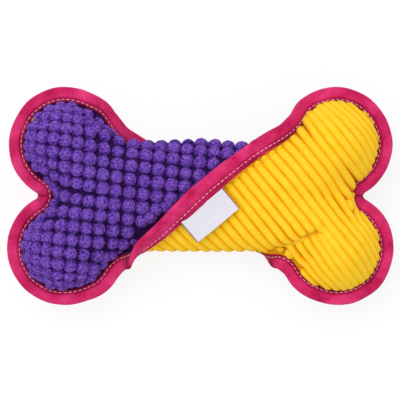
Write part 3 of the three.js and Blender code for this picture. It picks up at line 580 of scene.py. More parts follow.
def sewn_panel(name, cover, side):
    """The panel's cloth as a closed shell: its outside, the edge inside the binding, and the lining."""
    count = len(COVER_POINT)
    rings = list(cover["places"].reshape(cover["rings"], count, 3))
    outer_face, inner_face = EDGE_THROUGH
    for out, through in (
        (EDGE_START, outer_face),
        (EDGE_TUCKED, outer_face),
        (EDGE_TUCKED, inner_face),
        (EDGE_START, inner_face),
    ):
        rings.append(binding_ring(COVER_FRAMES, out, -side * through))
    rings += list(cover["lining"].reshape(cover["rings"], count, 3)[-1::-3])
    rings.append(cover["lining"][:count])
    return place_object(name, closed_shell(name, rings, ring_faces(len(rings), count), merge=True))


def geometry_tree(name, inputs, result):
    """A new geometry tree with named inputs; returns it with its entry node and its exit node."""
    tree = bpy.data.node_groups.new(name, "GeometryNodeTree")
    for label, kind in inputs:
        tree.interface.new_socket(label, in_out="INPUT", socket_type=kind)
    tree.interface.new_socket(result, in_out="OUTPUT", socket_type="NodeSocketGeometry")
    return tree, tree.nodes.new("NodeGroupInput"), tree.nodes.new("NodeGroupOutput")


def made_plain(piece):
    """Keeps what a piece's modifiers make of it as its own plain mesh."""
    bpy.context.view_layer.update()
    graph = bpy.context.evaluated_depsgraph_get()
    mesh = bpy.data.meshes.new_from_object(piece.evaluated_get(graph), depsgraph=graph)
    piece.modifiers.clear()
    piece.data = mesh
    mesh.name = piece.name


def grown(piece, tree, values):
    """Runs a geometry tree on a piece and keeps the result as its plain mesh."""
    grower = piece.modifiers.new("grower", "NODES")
    grower.node_group = tree
    sockets = {s.name: s.identifier for s in tree.interface.items_tree if s.in_out == "INPUT"}
    for label, value in values.items():
        grower[sockets[label]] = value
    made_plain(piece)


def kept_above(piece, height):
    """Lifts what would pass through the floor to a height above it."""
    for corner in piece.data.vertices:
        corner.co.z = max(corner.co.z, height)


def seat_points(name, places, leans, edges=(), sizes=None):
    """A mesh of bare points, or of lines, that a geometry tree grows pieces on."""
    mesh = bpy.data.meshes.new(name)
    mesh.from_pydata([tuple(p) for p in places], list(edges), [])
    lean = mesh.attributes.new("lean", "FLOAT_VECTOR", "POINT")
    lean.data.foreach_set("vector", np.array(leans, np.float32).ravel())
    if sizes is not None:
        size = mesh.attributes.new("size", "FLOAT", "POINT")
        size.data.foreach_set("value", np.array(sizes, np.float32))
    return place_object(name, mesh)


def end_tree(tree, entry, result, shape):
    """Ends a geometry tree: copies made real, shaded smooth and given the piece's finish."""
    real = add_node(tree, "GeometryNodeRealizeInstances", {"Geometry": shape})
    smooth = add_node(tree, "GeometryNodeSetShadeSmooth", {"Geometry": real.outputs[0]})
    inputs = {"Geometry": smooth.outputs[0], "Material": entry.outputs["Finish"]}
    done = add_node(tree, "GeometryNodeSetMaterial", inputs)
    tree.links.new(done.outputs[0], result.inputs[0])


def bobble_tree():
    """Balls of pile on their seats, each turned and sized by chance, with a ruffled surface."""
    tree, entry, result = geometry_tree(
        "bobble_plush",
        [
            ("Seats", "NodeSocketGeometry"),
            ("Radius", "NodeSocketFloat"),
            ("Smallest", "NodeSocketFloat"),
            ("Largest", "NodeSocketFloat"),
            ("Ruffle", "NodeSocketFloat"),
            ("Ruffle Scale", "NodeSocketFloat"),
            ("Seed", "NodeSocketInt"),
            ("Finish", "NodeSocketMaterial"),
        ],
        "Bobbles",
    )
    radius, seed = entry.outputs["Radius"], entry.outputs["Seed"]
    ball = add_node(tree, "GeometryNodeMeshIcoSphere", {"Radius": radius, "Subdivisions": 2})
    spot = add_node(tree, "GeometryNodeInputPosition")
    parts = add_node(tree, "ShaderNodeSeparateXYZ", {0: spot.outputs[0]})
    # The rise of each point on a bobble, which the pile's finish turns into painted shade and a painted
    # highlight.
    rise = reckon(tree, "DIVIDE", parts.outputs["Z"], radius)
    marks = {"Geometry": ball.outputs["Mesh"], "Name": "rise", "Value": rise}
    marked = add_node(tree, "GeometryNodeStoreNamedAttribute", marks)
    lean = add_node(tree, "GeometryNodeInputNamedAttribute", {"Name": "lean"}, data_type="FLOAT_VECTOR")
    facing = {"Vector": lean.outputs["Attribute"]}
    stood = add_node(tree, "FunctionNodeAlignRotationToVector", facing, axis="Z")
    turn = add_node(tree, "FunctionNodeRandomValue", {"Min": 0.0, "Max": BOBBLE_SPIN, "Seed": seed})
    about = {"Axis": (0, 0, 1), "Angle": turn.outputs["Value"]}
    spin = add_node(tree, "FunctionNodeAxisAngleToRotation", about)
    turns = {"Rotation": stood.outputs[0], "Rotate By": spin.outputs[0]}
    turned = add_node(tree, "FunctionNodeRotateRotation", turns, rotation_space="LOCAL")
    next_seed = add_node(tree, "FunctionNodeIntegerMath", {0: seed, 1: 1}, operation="ADD")
    limits = {"Min": entry.outputs["Smallest"], "Max": entry.outputs["Largest"]}
    vary = add_node(tree, "FunctionNodeRandomValue", {**limits, "Seed": next_seed.outputs[0]})
    own = add_node(tree, "GeometryNodeInputNamedAttribute", {"Name": "size"}, data_type="FLOAT")
    copies = add_node(
        tree,
        "GeometryNodeInstanceOnPoints",
        {
            "Points": entry.outputs["Seats"],
            "Instance": marked.outputs["Geometry"],
            "Rotation": turned.outputs[0],
            "Scale": reckon(tree, "MULTIPLY", vary.outputs["Value"], own.outputs["Attribute"]),
        },
    )
    real = add_node(tree, "GeometryNodeRealizeInstances", {"Geometry": copies.outputs[0]})
    scale = entry.outputs["Ruffle Scale"]
    tuft = add_node(tree, "ShaderNodeTexNoise", {"Scale": scale, "Detail": 2.0})
    level = reckon(tree, "SUBTRACT", tuft.outputs["Fac"], 0.5)
    height = reckon(tree, "MULTIPLY", level, entry.outputs["Ruffle"])
    normal = add_node(tree, "GeometryNodeInputNormal")
    push = {0: normal.outputs[0], "Scale": height}
    offset = add_node(tree, "ShaderNodeVectorMath", push, operation="SCALE")
    moved = {"Geometry": real.outputs[0], "Offset": offset.outputs[0]}
    ruffled = add_node(tree, "GeometryNodeSetPosition", moved)
    end_tree(tree, entry, result, ruffled.outputs[0])
    return tree


def new_finish(name, roughness, sheen=0.0):
    """A material with one matt shader; returns it with its tree and the shader to colour."""
    finish = bpy.data.materials.new(name)
    finish.use_nodes = True
    tree = finish.node_tree
    shader = tree.nodes["Principled BSDF"]
    shader.inputs["Roughness"].default_value = roughness
    shader.inputs["Sheen Weight"].default_value = sheen
    shader.inputs["Sheen Roughness"].default_value = SHEEN_SPREAD
    shader.inputs["Specular IOR Level"].default_value = CLOTH_SHINE
    return finish, tree, shader


def ramp(tree, share, stops):
    """Colours by a 0 to 1 share; stops are pairs of place and colour."""
    node = add_node(tree, "ShaderNodeValToRGB", {"Fac": share})
    band = node.color_ramp
    while len(band.elements) < len(stops):
        band.elements.new(1.0)
    for element, (place, colour) in zip(band.elements, stops):
        element.position = place
        element.color = colour
    return node.outputs["Color"]


def coloured(tree, shader, share, stops):
    """Colours a shader by a 0 to 1 share."""
    tree.links.new(ramp(tree, share, stops), shader.inputs["Base Color"])


def bumped(tree, shader, height, strength, distance):
    """Gives a shader a fine relief by a 0 to 1 height."""
    bump = add_node(tree, "ShaderNodeBump", {"Height": height, "Strength": strength, "Distance": distance})
    tree.links.new(bump.outputs["Normal"], shader.inputs["Normal"])


def grain(tree, scale, detail=3.0):
    """A random 0 to 1 share through a piece, with about that many specks to the metre."""
    where = add_node(tree, "ShaderNodeTexCoord")
    inputs = {"Vector": where.outputs["Object"], "Scale": scale, "Detail": detail}
    return add_node(tree, "ShaderNodeTexNoise", inputs).outputs["Fac"]


def from_mesh(tree, name):
    """A share that the piece's own mesh holds."""
    return add_node(tree, "ShaderNodeAttribute", attribute_name=name).outputs["Fac"]


def stretched(tree, value, low, high):
    """A 0 to 1 share from a value between a low and a high one."""
    limits = {"Value": value, "From Min": low, "From Max": high}
    return add_node(tree, "ShaderNodeMapRange", limits).outputs["Result"]


def backing_finish(name, roughness, dark, light, strength, distance):
    """Knitted cloth with a fine weave; the colours given to it are painted shade for the gaps where the
    backing shows.
    """
    finish, tree, shader = new_finish(name, roughness)
    weave = grain(tree, BACKING_WEAVE)
    coloured(tree, shader, weave, [(0.3, dark), (0.7, light)])
    bumped(tree, shader, weave, strength, distance)
    return finish


def bobble_finish():
    """Purple pile: painted shade low on each bobble, a painted highlight on its top, and painted shade with
    random tone where its tuft and pit grain sinks the relief.
    """
    finish, tree, shader = new_finish("bobble_pile", 0.9, sheen=0.12)
    shader.inputs["Sheen Tint"].default_value = paint(196, 170, 235)
    tuft = grain(tree, BOBBLE_TUFTS, 4.0)
    pit = grain(tree, BOBBLE_PITS, 1.0)
    # Painted shade low on each bobble and a painted highlight on its top, by the rise stored on it.
    shade_by_rise = stretched(tree, from_mesh(tree, "rise"), *BOBBLE_SHADE_RISES)
    # The tuft and pit grain darkens the colour where it sinks the relief: painted shade in the hollows,
    # mixed with random tone.
    mixed = reckon(tree, "ADD", tuft, pit)
    centred = reckon(tree, "SUBTRACT", mixed, 1.0)
    swing = reckon(tree, "MULTIPLY", centred, BOBBLE_TUFT_WEIGHT)
    share = reckon(tree, "ADD", reckon(tree, "MULTIPLY", shade_by_rise, BOBBLE_BASE_SHADE_WEIGHT), swing)
    stops = [
        (0.0, paint(30, 6, 64)),
        (0.22, paint(70, 31, 122)),
        (0.5, paint(99, 56, 161)),
        (1.0, paint(140, 100, 206)),
    ]
    coloured(tree, shader, share, stops)
    bumped(tree, shader, mixed, 0.8, 0.0012)
    return finish


purple_cover = stuffed_cover(1, PLUSH_BACKING, PLUSH_RIM_LIFT, PLUSH_LUMPS)
find_purple = cover_finder(purple_cover, 1)
TAPE_POINT, TAPE_NORMAL, _ = flat_seam(*TAPE_STEPS)
TAPE_FRAMES = seam_frames(TAPE_POINT, TAPE_NORMAL)
seam_tree = nearest_of(TAPE_FRAMES["place"])


def seam_distance(place, side):
    """How far a place is from the seam along its cover, and how flat the binding lies there."""
    _, index, _ = seam_tree.find(place)
    away = float((place - TAPE_FRAMES["place"][index]) @ TAPE_FRAMES["purple"][index])
    return side * away, TAPE_FRAMES["lay"][index] / LAY_ANGLE


def bobble_seats():
    """Places, leans and sizes of the bobbles: rows over both faces, then more where cloth is bare."""
    row = np.array([math.cos(BOBBLE_ROW_SLOPE), math.sin(BOBBLE_ROW_SLOPE)]) * BOBBLE_ROW_PITCH
    column = np.array([math.cos(BOBBLE_COLUMN_LEAN), math.sin(BOBBLE_COLUMN_LEAN)]) * BOBBLE_COLUMN_PITCH
    places, leans, sizes = [], [], []
    for view, i, j in itertools.product(("front", "back"), BOBBLES_ALONG, BOBBLES_DOWN):
        found = find_purple(*(np.array(BOBBLE_START) + i * row + j * column), view)
        if found is None:
            continue
        place, lean = found
        gap, laid = seam_distance(place, 1)
        if gap < BOBBLE_SEAM_GAP + BOBBLE_TAPE_GAP * laid:
            continue
        if places and np.linalg.norm(np.array(places) - place, axis=1).min() < BOBBLE_RADIUS:
            continue
        places.append(place + lean * BOBBLE_SEAT)
        leans.append(lean)
        sizes.append(1.0)
    seats, normals = purple_cover["seats"], purple_cover["normals"]
    spare = seats + normals * BOBBLE_SEAT

    def fill_bare(closed, spread, size):
        """Adds a seat where the cloth is barest, again and again until none is barer than the spread."""
        far = np.linalg.norm(spare[:, None] - np.array(places)[None], axis=2).min(1)
        far[closed] = 0
        while (far - spread).max() > 0:
            pick = int(np.argmax(far - spread))
            places.append(spare[pick])
            leans.append(normals[pick])
            sizes.append(size)
            far = np.minimum(far, np.linalg.norm(spare - spare[pick], axis=1))

    gaps = np.array([seam_distance(seat, 1) for seat in seats])
    room = gaps[:, 0] - BOBBLE_SEAM_GAP - BOBBLE_TAPE_GAP * gaps[:, 1]
    fill_bare(room < 0, np.where(room < BOBBLE_RADIUS, *BOBBLE_SPREADS), 1.0)
    turned = np.array([TAPE_FRAMES["turned"][seam_tree.find(seat)[1]] for seat in seats])
    closed = (gaps[:, 0] < TUFT_SEAM_GAP) | (room > 0) | (turned > TUFT_TURN)
    fill_bare(closed, TUFT_SPREAD, TUFT_SIZE)
    return places, leans, sizes


purple_panel = sewn_panel("purple_cloth", purple_cover, 1)
# The backing's dark purple is painted shade for the gaps between the bobbles, where only shade shows.
shaded_plush_backing = backing_finish("shaded_plush_backing", 0.95, paint(26, 8, 52), paint(60, 28, 104), 0.6, 0.0006)
purple_panel.data.materials.append(shaded_plush_backing)
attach(purple_panel, "cover")
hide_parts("purple_panel")

bobble_places, bobble_leans, bobble_sizes = bobble_seats()
bobbles = seat_points("purple_bobbles", bobble_places, bobble_leans, sizes=bobble_sizes)
grown(
    bobbles,
    bobble_tree(),
    {
        "Radius": BOBBLE_RADIUS,
        "Smallest": BOBBLE_VARIES[0],
        "Largest": BOBBLE_VARIES[1],
        "Ruffle": BOBBLE_RUFFLE,
        "Ruffle Scale": BOBBLE_RUFFLE_SCALE,
        "Seed": BOBBLE_SEED,
        "Finish": bobble_finish(),
    },
)
kept_above(bobbles, FLOOR_CONTACT)
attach(bobbles, "cover")

# The yellow side: the same bone cut from jumbo cord, a cloth with thick raised ribs of pile.
# The ribs run slantwise down to the right, and stop rounded where the panel enters the binding.
# Where the lower right lobe was stuffed, the cloth is tucked over itself in one long crease.
CORD_BACKING = 0.0030
CORD_RIM_LIFT = 0.8
CORD_LUMPS = 0.0010
# The ribs: their section, how they lie over the cloth, and how finely they are divided.
RIB_PITCH = 0.0067
RIB_NUMBERS = range(-46, 46)
RIB_HALF_WIDTH = 0.0037
RIB_HEIGHT = 0.0030
RIB_SIDES = 12
RIB_SEAT = 0.0002
RIB_SLOPE = math.radians(-51.5)
RIB_RUN = np.array([math.cos(RIB_SLOPE), math.sin(RIB_SLOPE)])
RIB_ASIDE = np.array([-RIB_RUN[1], RIB_RUN[0]])
RIB_OFFSET = 0.0008
RIB_STEP = 0.0016
RIB_STEPS = 200
RIB_JOIN = 3 * RIB_STEP
RIB_NAP = 1300
RIB_PATCHES = 120
# The ribs' colour by rise: painted shade down their sides and a painted highlight along their tops.
RIB_SHADE_RISES = (0.35, 0.98)
RIB_SIDE_SHADE_WEIGHT = 0.5
RIB_NAP_WEIGHT = 0.3
# The ends of the ribs: rounded at the seam, dipped at the tuck, or bent up to the binding lying flat.
RIB_SEAM_GAP = 0.0012
RIB_ROUNDING = 0.0022
RIB_BLUNT = 1.02
RIB_DIP = 0.35
RIB_TURN = 0.8
RIB_TAPE_GAP = 2.5 * RIB_STEP
RIB_TOPS = (-0.0020, 0.0010)
RIB_TOP_LEANS = (0.015, 0.06)
RIB_TOP_TURN = 1.2
RIB_TOP_SHARES = (0.3, 0.55, 0.8, 1.0)
# The spare ribs of strips that would be bare.
RIB_BARE = 0.0047
RIB_CLOSE = 0.8 * RIB_BARE
RIB_SPARE_STEPS = 40
# The tuck: its line, its crease with the sunk and the rolled side, and its shift of the ribs.
TUCK_FROM = np.array([0.0519, -0.0410])
TUCK_TO = np.array([0.0937, -0.0223])
TUCK_STARTS = (-0.08, 0.10)
TUCK_ENDS = (0.72, 1.12)
TUCK_DEPTH = 0.0026
TUCK_VALLEY = (0.0012, 0.0028)
TUCK_LOWER = (0.002, 0.022)
TUCK_ROLL = (-0.006, 0.005, 0.0012)
TUCK_HEIGHTS = (0.002, 0.010)
TUCK_SHIFT = 0.0034
TUCK_TRIES = 9
TUCK_ERROR = TUCK_SHIFT / 6
TUCK_ROOM = 0.080
TUCK_FADE = 0.05
TUCK_FAINT = 0.02
TUCK_FIRM = 0.3
TUCK_LIP = (-0.0002, 0.0006)
# The bulge of the filling over the binding at the right notch.
NOTCH_BULGE = 0.0036
NOTCH_SPAN = 0.013
NOTCH_REACHES = (0.096, 0.109)
NOTCH_HEIGHTS = (0.0005, 0.004)
NOTCH_TOPS = (0.010, 0.024)


def tuck_measure(places):
    """Along the tuck as a share of it, and across it towards the lower right lobe, in metres."""
    run = TUCK_TO - TUCK_FROM
    length = np.linalg.norm(run)
    run = run / length
    away = places[:, :2] - TUCK_FROM
    return away @ run / length, away @ np.array([run[1], -run[0]])


def tuck_strength(places):
    """How firmly the cloth is tucked: 1 along the crease, fading at its ends, and none on the back."""
    along, _ = tuck_measure(places)
    fade = 1 - eased(along, *TUCK_ENDS)
    return fade * eased(along, *TUCK_STARTS) * (places[:, 2] > SEAM_HEIGHT)


def tuck_push(places):
    """The crease of the tuck, the roll of cloth above it and the sunk cloth below it."""
    _, across = tuck_measure(places)
    middle, width = TUCK_VALLEY
    valley = -TUCK_DEPTH * bell(across - middle, width)
    start, fade = TUCK_LOWER
    lower = -TUCK_DEPTH * eased(across, 0, start) * np.exp(-np.maximum(across, 0) / fade)
    middle, width, height = TUCK_ROLL
    upper = height * bell(across - middle, width)
    clear_of_seam = eased(places[:, 2] - SEAM_HEIGHT, *TUCK_HEIGHTS)
    return tuck_strength(places) * clear_of_seam * (valley + lower + upper)


def notch_push(places):
    """The filling pressed out over the binding at the right notch."""
    beside = bell(places[:, 1], NOTCH_SPAN) * eased(places[:, 0], *NOTCH_REACHES)
    height = places[:, 2] - SEAM_HEIGHT
    return NOTCH_BULGE * beside * eased(height, *NOTCH_HEIGHTS) * (1 - eased(height, *NOTCH_TOPS))


def cord_push(places):
    """All that pushes the yellow cover out of its plain stuffed form."""
    return tuck_push(places) + notch_push(places)


yellow_cover = stuffed_cover(-1, CORD_BACKING, CORD_RIM_LIFT, CORD_LUMPS, cord_push)
find_yellow = cover_finder(yellow_cover, -1)


def tuck_state(found):
    """Strength of the tuck at a place that was found on the cover, and how far across it that lies."""
    if found is None:
        return 0.0, 0.0
    place = found[0][None]
    return float(tuck_strength(place)[0]), float(tuck_measure(place)[1][0])


def past_tuck(cloth, view):
    """A place on the cover whose own shift past the tuck brings the rib there; None without one."""
    best, least = None, TUCK_ERROR
    for shift in np.linspace(0, TUCK_SHIFT, TUCK_TRIES):
        for _ in range(2):
            found = find_yellow(*(cloth + RIB_ASIDE * shift), view)
            strength, across = tuck_state(found)
            wanted = TUCK_SHIFT * strength * math.exp(-across / TUCK_FADE) if across > 0 else 0.0
            if found is not None and abs(shift - wanted) < least:
                best, least = found, abs(shift - wanted)
            shift = wanted
    return best


def rib_spot(cloth, view):
    """Place and lean of a rib at a point of the cloth, shifted past the tuck; None where it stops."""
    found = find_yellow(*cloth, view)
    strength, across = tuck_state(found)
    if np.linalg.norm(cloth - TUCK_FROM) < TUCK_ROOM and (strength > TUCK_FAINT or found is None):
        found = past_tuck(cloth, view)
        strength, across = tuck_state(found)
    if found is None or (strength > TUCK_FIRM and TUCK_LIP[0] < across < TUCK_LIP[1]):
        return None
    gap, laid = seam_distance(found[0], -1)
    return found if gap >= RIB_SEAM_GAP * (1 - laid) else None


def rib_runs(number, view):
    """The runs of one rib that a face of the toy shows."""
    runs, line = [], []
    start = RIB_ASIDE * (number * RIB_PITCH + RIB_OFFSET)
    for step in range(-RIB_STEPS, RIB_STEPS + 1):
        spot = rib_spot(start + RIB_RUN * (step * RIB_STEP), view)
        if spot is not None and step < RIB_STEPS:
            line.append(spot)
            continue
        if len(line) > 1:
            runs.append(line)
        line = []
    return runs


def joined_runs(fronts, backs):
    """The runs of one rib, made one where it goes on round the edge from the front to the back."""
    runs = list(fronts)
    for back in backs:
        for index, front in enumerate(runs):
            if np.linalg.norm(front[-1][0] - back[0][0]) < RIB_JOIN:
                runs[index] = front + back
                break
            if np.linalg.norm(back[-1][0] - front[0][0]) < RIB_JOIN:
                runs[index] = back + front
                break
        else:
            runs.append(back)
    return runs


def under_tuck(place, lean, onward):
    """The end of a rib that dips under the roll of the tuck."""
    return [(place + (onward - RIB_DIP * lean) * RIB_STEP * n, lean) for n in (1, 2)]


def up_to_tape(place, lean, onward, gap, beside):
    """The end of a rib that bends up to the binding where that lies flat."""
    foot = place + onward * max(gap, RIB_STEP)
    leaning = float(eased(1 - lean[2], *RIB_TOP_LEANS))
    height = RIB_TOPS[0] + (RIB_TOPS[1] - RIB_TOPS[0]) * leaning
    top = beside["base"] + height * beside["face"]
    top = top + beside["along"] * float((foot - beside["place"]) @ beside["along"])
    facing = lean - RIB_TOP_TURN * beside["purple"]
    more = []
    for share in RIB_TOP_SHARES:
        bend = (1 - share) ** 2 * place + 2 * share * (1 - share) * foot + share**2 * top
        turned = lean * (1 - share) + facing * share
        more.append((bend, turned / np.linalg.norm(turned)))
    return more


def lengthened(line):
    """A rib's line, run on at each end that meets the tuck, or the binding lying flat."""
    for end in (0, -1):
        inner = line[1] if end == 0 else line[-2]
        place, lean = line[end]
        gap, _ = seam_distance(place, -1)
        nearest = seam_tree.find(place)[1]
        beside = {name: rows[nearest] for name, rows in TAPE_FRAMES.items()}
        strength, across = tuck_state(line[end])
        onward = place - inner[0]
        onward = onward / np.linalg.norm(onward)
        if strength > TUCK_FIRM and 0 < across < 2 * RIB_STEP:
            more = under_tuck(place, lean, onward)
        elif beside["turned"] >= RIB_TURN and gap <= RIB_TAPE_GAP:
            more = up_to_tape(place, lean, onward, gap, beside)
        else:
            continue
        line = [*more[::-1], *line] if end == 0 else [*line, *more]
    return line


def spare_ribs(lines):
    """Short ribs for the bare strips that are left where the cloth is drawn in beside the seam."""
    made = np.array([place for line in lines for place, _ in line])
    cloth = cloth_measure(yellow_cover["outer"], -1)
    seats = yellow_cover["seats"]
    gaps = np.array([seam_distance(seat, -1) for seat in seats])
    far = np.array([np.linalg.norm(made - seat, axis=1).min() for seat in seats])
    far[gaps[:, 0] < RIB_SEAM_GAP] = 0
    more = []
    while far.max() > RIB_BARE:
        pick = int(np.argmax(far))
        view = "front" if yellow_cover["outer"][pick, 2] >= SEAM_HEIGHT else "back"
        halves = []
        for way in (-1, 1):
            half = []
            for step in range(RIB_SPARE_STEPS):
                found = find_yellow(*(cloth[pick] + way * step * RIB_STEP * RIB_RUN), view)
                if found is None or seam_distance(found[0], -1)[0] < RIB_SEAM_GAP:
                    break
                if np.linalg.norm(made - found[0], axis=1).min() < RIB_CLOSE:
                    break
                half.append(found)
            halves.append(half)
        line = halves[0][:0:-1] + halves[1]
        far[pick] = 0
        if len(line) < 2:
            continue
        more.append(line)
        added = np.array([place for place, _ in line])
        made = np.concatenate([made, added])
        far = np.minimum(far, np.linalg.norm(seats[:, None] - added[None], axis=2).min(1))
    return more


def rib_lines():
    """Places and leans along the middle lines of all the ribs, and the edges that join them."""
    lines = []
    for number in RIB_NUMBERS:
        runs = joined_runs(rib_runs(number, "front"), rib_runs(number, "back"))
        lines += [lengthened(line) for line in runs]
    lines += spare_ribs(lines)
    places, leans, edges = [], [], []
    for line in lines:
        first = len(places)
        places += [place + lean * RIB_SEAT for place, lean in line]
        leans += [lean for _, lean in line]
        edges += [(n, n + 1) for n in range(first, len(places) - 1)]
    return places, leans, edges


def rib_tree():
    """An oval of pile swept along each line, rounded off at both ends."""
    tree, entry, result = geometry_tree(
        "cord_rib",
        [
            ("Lines", "NodeSocketGeometry"),
            ("Half Width", "NodeSocketFloat"),
            ("Height", "NodeSocketFloat"),
            ("Rounding", "NodeSocketFloat"),
            ("Bluntness", "NodeSocketFloat"),
            ("Sides", "NodeSocketInt"),
            ("Finish", "NodeSocketMaterial"),
        ],
        "Ribs",
    )
    height = entry.outputs["Height"]
    line = add_node(tree, "GeometryNodeMeshToCurve", {"Mesh": entry.outputs["Lines"]})
    lean = add_node(tree, "GeometryNodeInputNamedAttribute", {"Name": "lean"}, data_type="FLOAT_VECTOR")
    stood = add_node(tree, "GeometryNodeSetCurveNormal", {"Curve": line.outputs[0]}, mode="FREE")
    tree.links.new(lean.outputs["Attribute"], stood.inputs["Normal"])
    covered = add_node(tree, "GeometryNodeSplineParameter").outputs["Length"]
    whole = add_node(tree, "GeometryNodeSplineLength").outputs["Length"]
    near = reckon(tree, "MINIMUM", covered, reckon(tree, "SUBTRACT", whole, covered))
    share = reckon(tree, "DIVIDE", near, entry.outputs["Rounding"])
    share.node.use_clamp = True
    short = reckon(tree, "SUBTRACT", 1.0, share)
    square = reckon(tree, "MULTIPLY", short, short)
    taper = reckon(tree, "POWER", reckon(tree, "SUBTRACT", entry.outputs["Bluntness"], square), 0.5)
    ring = {"Resolution": entry.outputs["Sides"], "Radius": 1.0}
    circle = add_node(tree, "GeometryNodeCurvePrimitiveCircle", ring)
    extents = {"X": height, "Y": entry.outputs["Half Width"], "Z": 1.0}
    shape = add_node(tree, "ShaderNodeCombineXYZ", extents)
    oval = {"Geometry": circle.outputs[0], "Scale": shape.outputs[0]}
    profile = add_node(tree, "GeometryNodeTransform", oval)
    spot = add_node(tree, "GeometryNodeInputPosition")
    parts = add_node(tree, "ShaderNodeSeparateXYZ", {0: spot.outputs[0]})
    # The rise across each rib's section, which the pile's finish turns into painted shade and a painted
    # highlight.
    rise = reckon(tree, "DIVIDE", parts.outputs["X"], height)
    marks = {"Geometry": profile.outputs[0], "Name": "rise", "Value": rise}
    marked = add_node(tree, "GeometryNodeStoreNamedAttribute", marks)
    swept = add_node(
        tree,
        "GeometryNodeCurveToMesh",
        {"Curve": stood.outputs[0], "Profile Curve": marked.outputs[0], "Scale": taper, "Fill Caps": True},
    )
    end_tree(tree, entry, result, swept.outputs[0])
    return tree


def rib_finish():
    """Yellow pile with painted shade down the sides of the ribs and a painted highlight along their tops,
    with a faint nap.
    """
    finish, tree, shader = new_finish("cord_pile", 0.85, sheen=0.05)
    shader.inputs["Sheen Tint"].default_value = paint(255, 232, 150)
    nap = grain(tree, RIB_NAP, 3.0)
    patch = grain(tree, RIB_PATCHES, 2.0)
    # Painted shade down the ribs' sides and a painted highlight along their tops, by the rise stored on
    # them.
    shade_by_rise = stretched(tree, from_mesh(tree, "rise"), *RIB_SHADE_RISES)
    swing = reckon(tree, "MULTIPLY", reckon(tree, "ADD", nap, patch), RIB_NAP_WEIGHT)
    share = reckon(tree, "ADD", reckon(tree, "MULTIPLY", shade_by_rise, RIB_SIDE_SHADE_WEIGHT), swing)
    stops = [
        (0.2, paint(240, 154, 2)),
        (0.45, paint(252, 184, 10)),
        (0.7, paint(255, 206, 36)),
        (0.95, paint(255, 218, 66)),
    ]
    coloured(tree, shader, share, stops)
    bumped(tree, shader, nap, 0.5, 0.0006)
    return finish


yellow_panel = sewn_panel("yellow_cloth", yellow_cover, -1)
# The backing's deeper orange is painted shade for the grooves between the ribs.
shaded_cord_backing = backing_finish("shaded_cord_backing", 0.9, paint(250, 176, 12), paint(254, 196, 26), 0.5, 0.0005)
yellow_panel.data.materials.append(shaded_cord_backing)
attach(yellow_panel, "cover")
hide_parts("yellow_panel")

ribs = seat_points("yellow_ribs", *rib_lines())
grown(
    ribs,
    rib_tree(),
    {
        "Half Width": RIB_HALF_WIDTH,
        "Height": RIB_HEIGHT,
        "Rounding": RIB_ROUNDING,
        "Bluntness": RIB_BLUNT,
        "Sides": RIB_SIDES,
        "Finish": rib_finish(),
    },
)
kept_above(ribs, FLOOR_CONTACT)
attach(ribs, "cover")

# The edge binding: one pink grosgrain tape folded in half over both raw edges, all round the bone.
# It stands out flat round the lobes, turns over beside the waist and lies down across the front.
# Fine cross ribs are woven into it, and it puckers a little where it is eased round the lobes.
TAPE_HALF = 0.0022
TAPE_THICKNESS = 0.0008
TAPE_INNER_EDGE = 0.0008
TAPE_OVERHANG = 0.0008
TAPE_FACE_STEPS = 15
TAPE_FOLD = 0.0014
TAPE_FOLD_ROOM = 0.0004
TAPE_FOLD_ANGLES = np.radians([62, 34, 0, -34, -62])
# Each unevenness of the tape: its height, its wave length and its seed.
TAPE_WAVE = (0.0005, 0.018, 1.5)
TAPE_EDGE_WAVE = (0.0004, 0.012, 5.5)
TAPE_PUCKER = (0.0006, 0.0075, 9.5)
TAPE_NOISE_GAIN = 1.6
PUCKER_SPAN = 0.0045
# The line of the stitch with its dent, the creases at the notches, and the shade of both and of the flips.
STITCH_ON_LOBE = 0.0026
STITCH_ON_WAIST = 0.0040
STITCH_DENT = 0.0006
STITCH_DENT_SPAN = 0.0016
STITCH_SHADE_SPAN = 0.0030
STITCH_SHADES = (0.9, 0.45)
NOTCH_CREASE = 0.0009
NOTCH_CREASE_SPAN = 0.0013
NOTCH_SHADE_SPAN = 0.0016
FLIP_SHADE = (0.30, 0.13)
# The weave and wear of the tape, and the weight of its painted shade.
TAPE_RIB_PITCH = 0.00085
TAPE_WEAR = 70
TAPE_SPECKS = 1500
TAPE_RIB_WEIGHT = 0.13
TAPE_SPECK_WEIGHT = 0.3
TAPE_SHADE_WEIGHT = 0.42


def seam_lengths(frames):
    """How far along the closed seam each sample lies, and the seam's whole length."""
    steps = np.linalg.norm(np.roll(frames["place"], -1, 0) - frames["place"], axis=1)
    return np.concatenate([[0], np.cumsum(steps)])


TAPE_RUN = seam_lengths(TAPE_FRAMES)
TAPE_LAID = TAPE_FRAMES["lay"] / LAY_ANGLE
STITCH_LINE = STITCH_ON_LOBE + (STITCH_ON_WAIST - STITCH_ON_LOBE) * TAPE_LAID


def round_noise(wave, seed):
    """A smooth random value round the closed seam, from -1 to 1, with bumps of about that wave length."""
    turn = 2 * np.pi * TAPE_RUN[:-1] / TAPE_RUN[-1]
    radius = TAPE_RUN[-1] / (2 * np.pi * wave)
    spots = np.stack([radius * np.cos(turn), radius * np.sin(turn), np.full_like(turn, seed)], 1)
    return np.array([noise.noise(Vector(s)) for s in spots]) * TAPE_NOISE_GAIN


PUCKERS = (0.5 + 0.5 * np.clip(round_noise(*TAPE_PUCKER[1:]), -1, 1)) * TAPE_PUCKER[0]


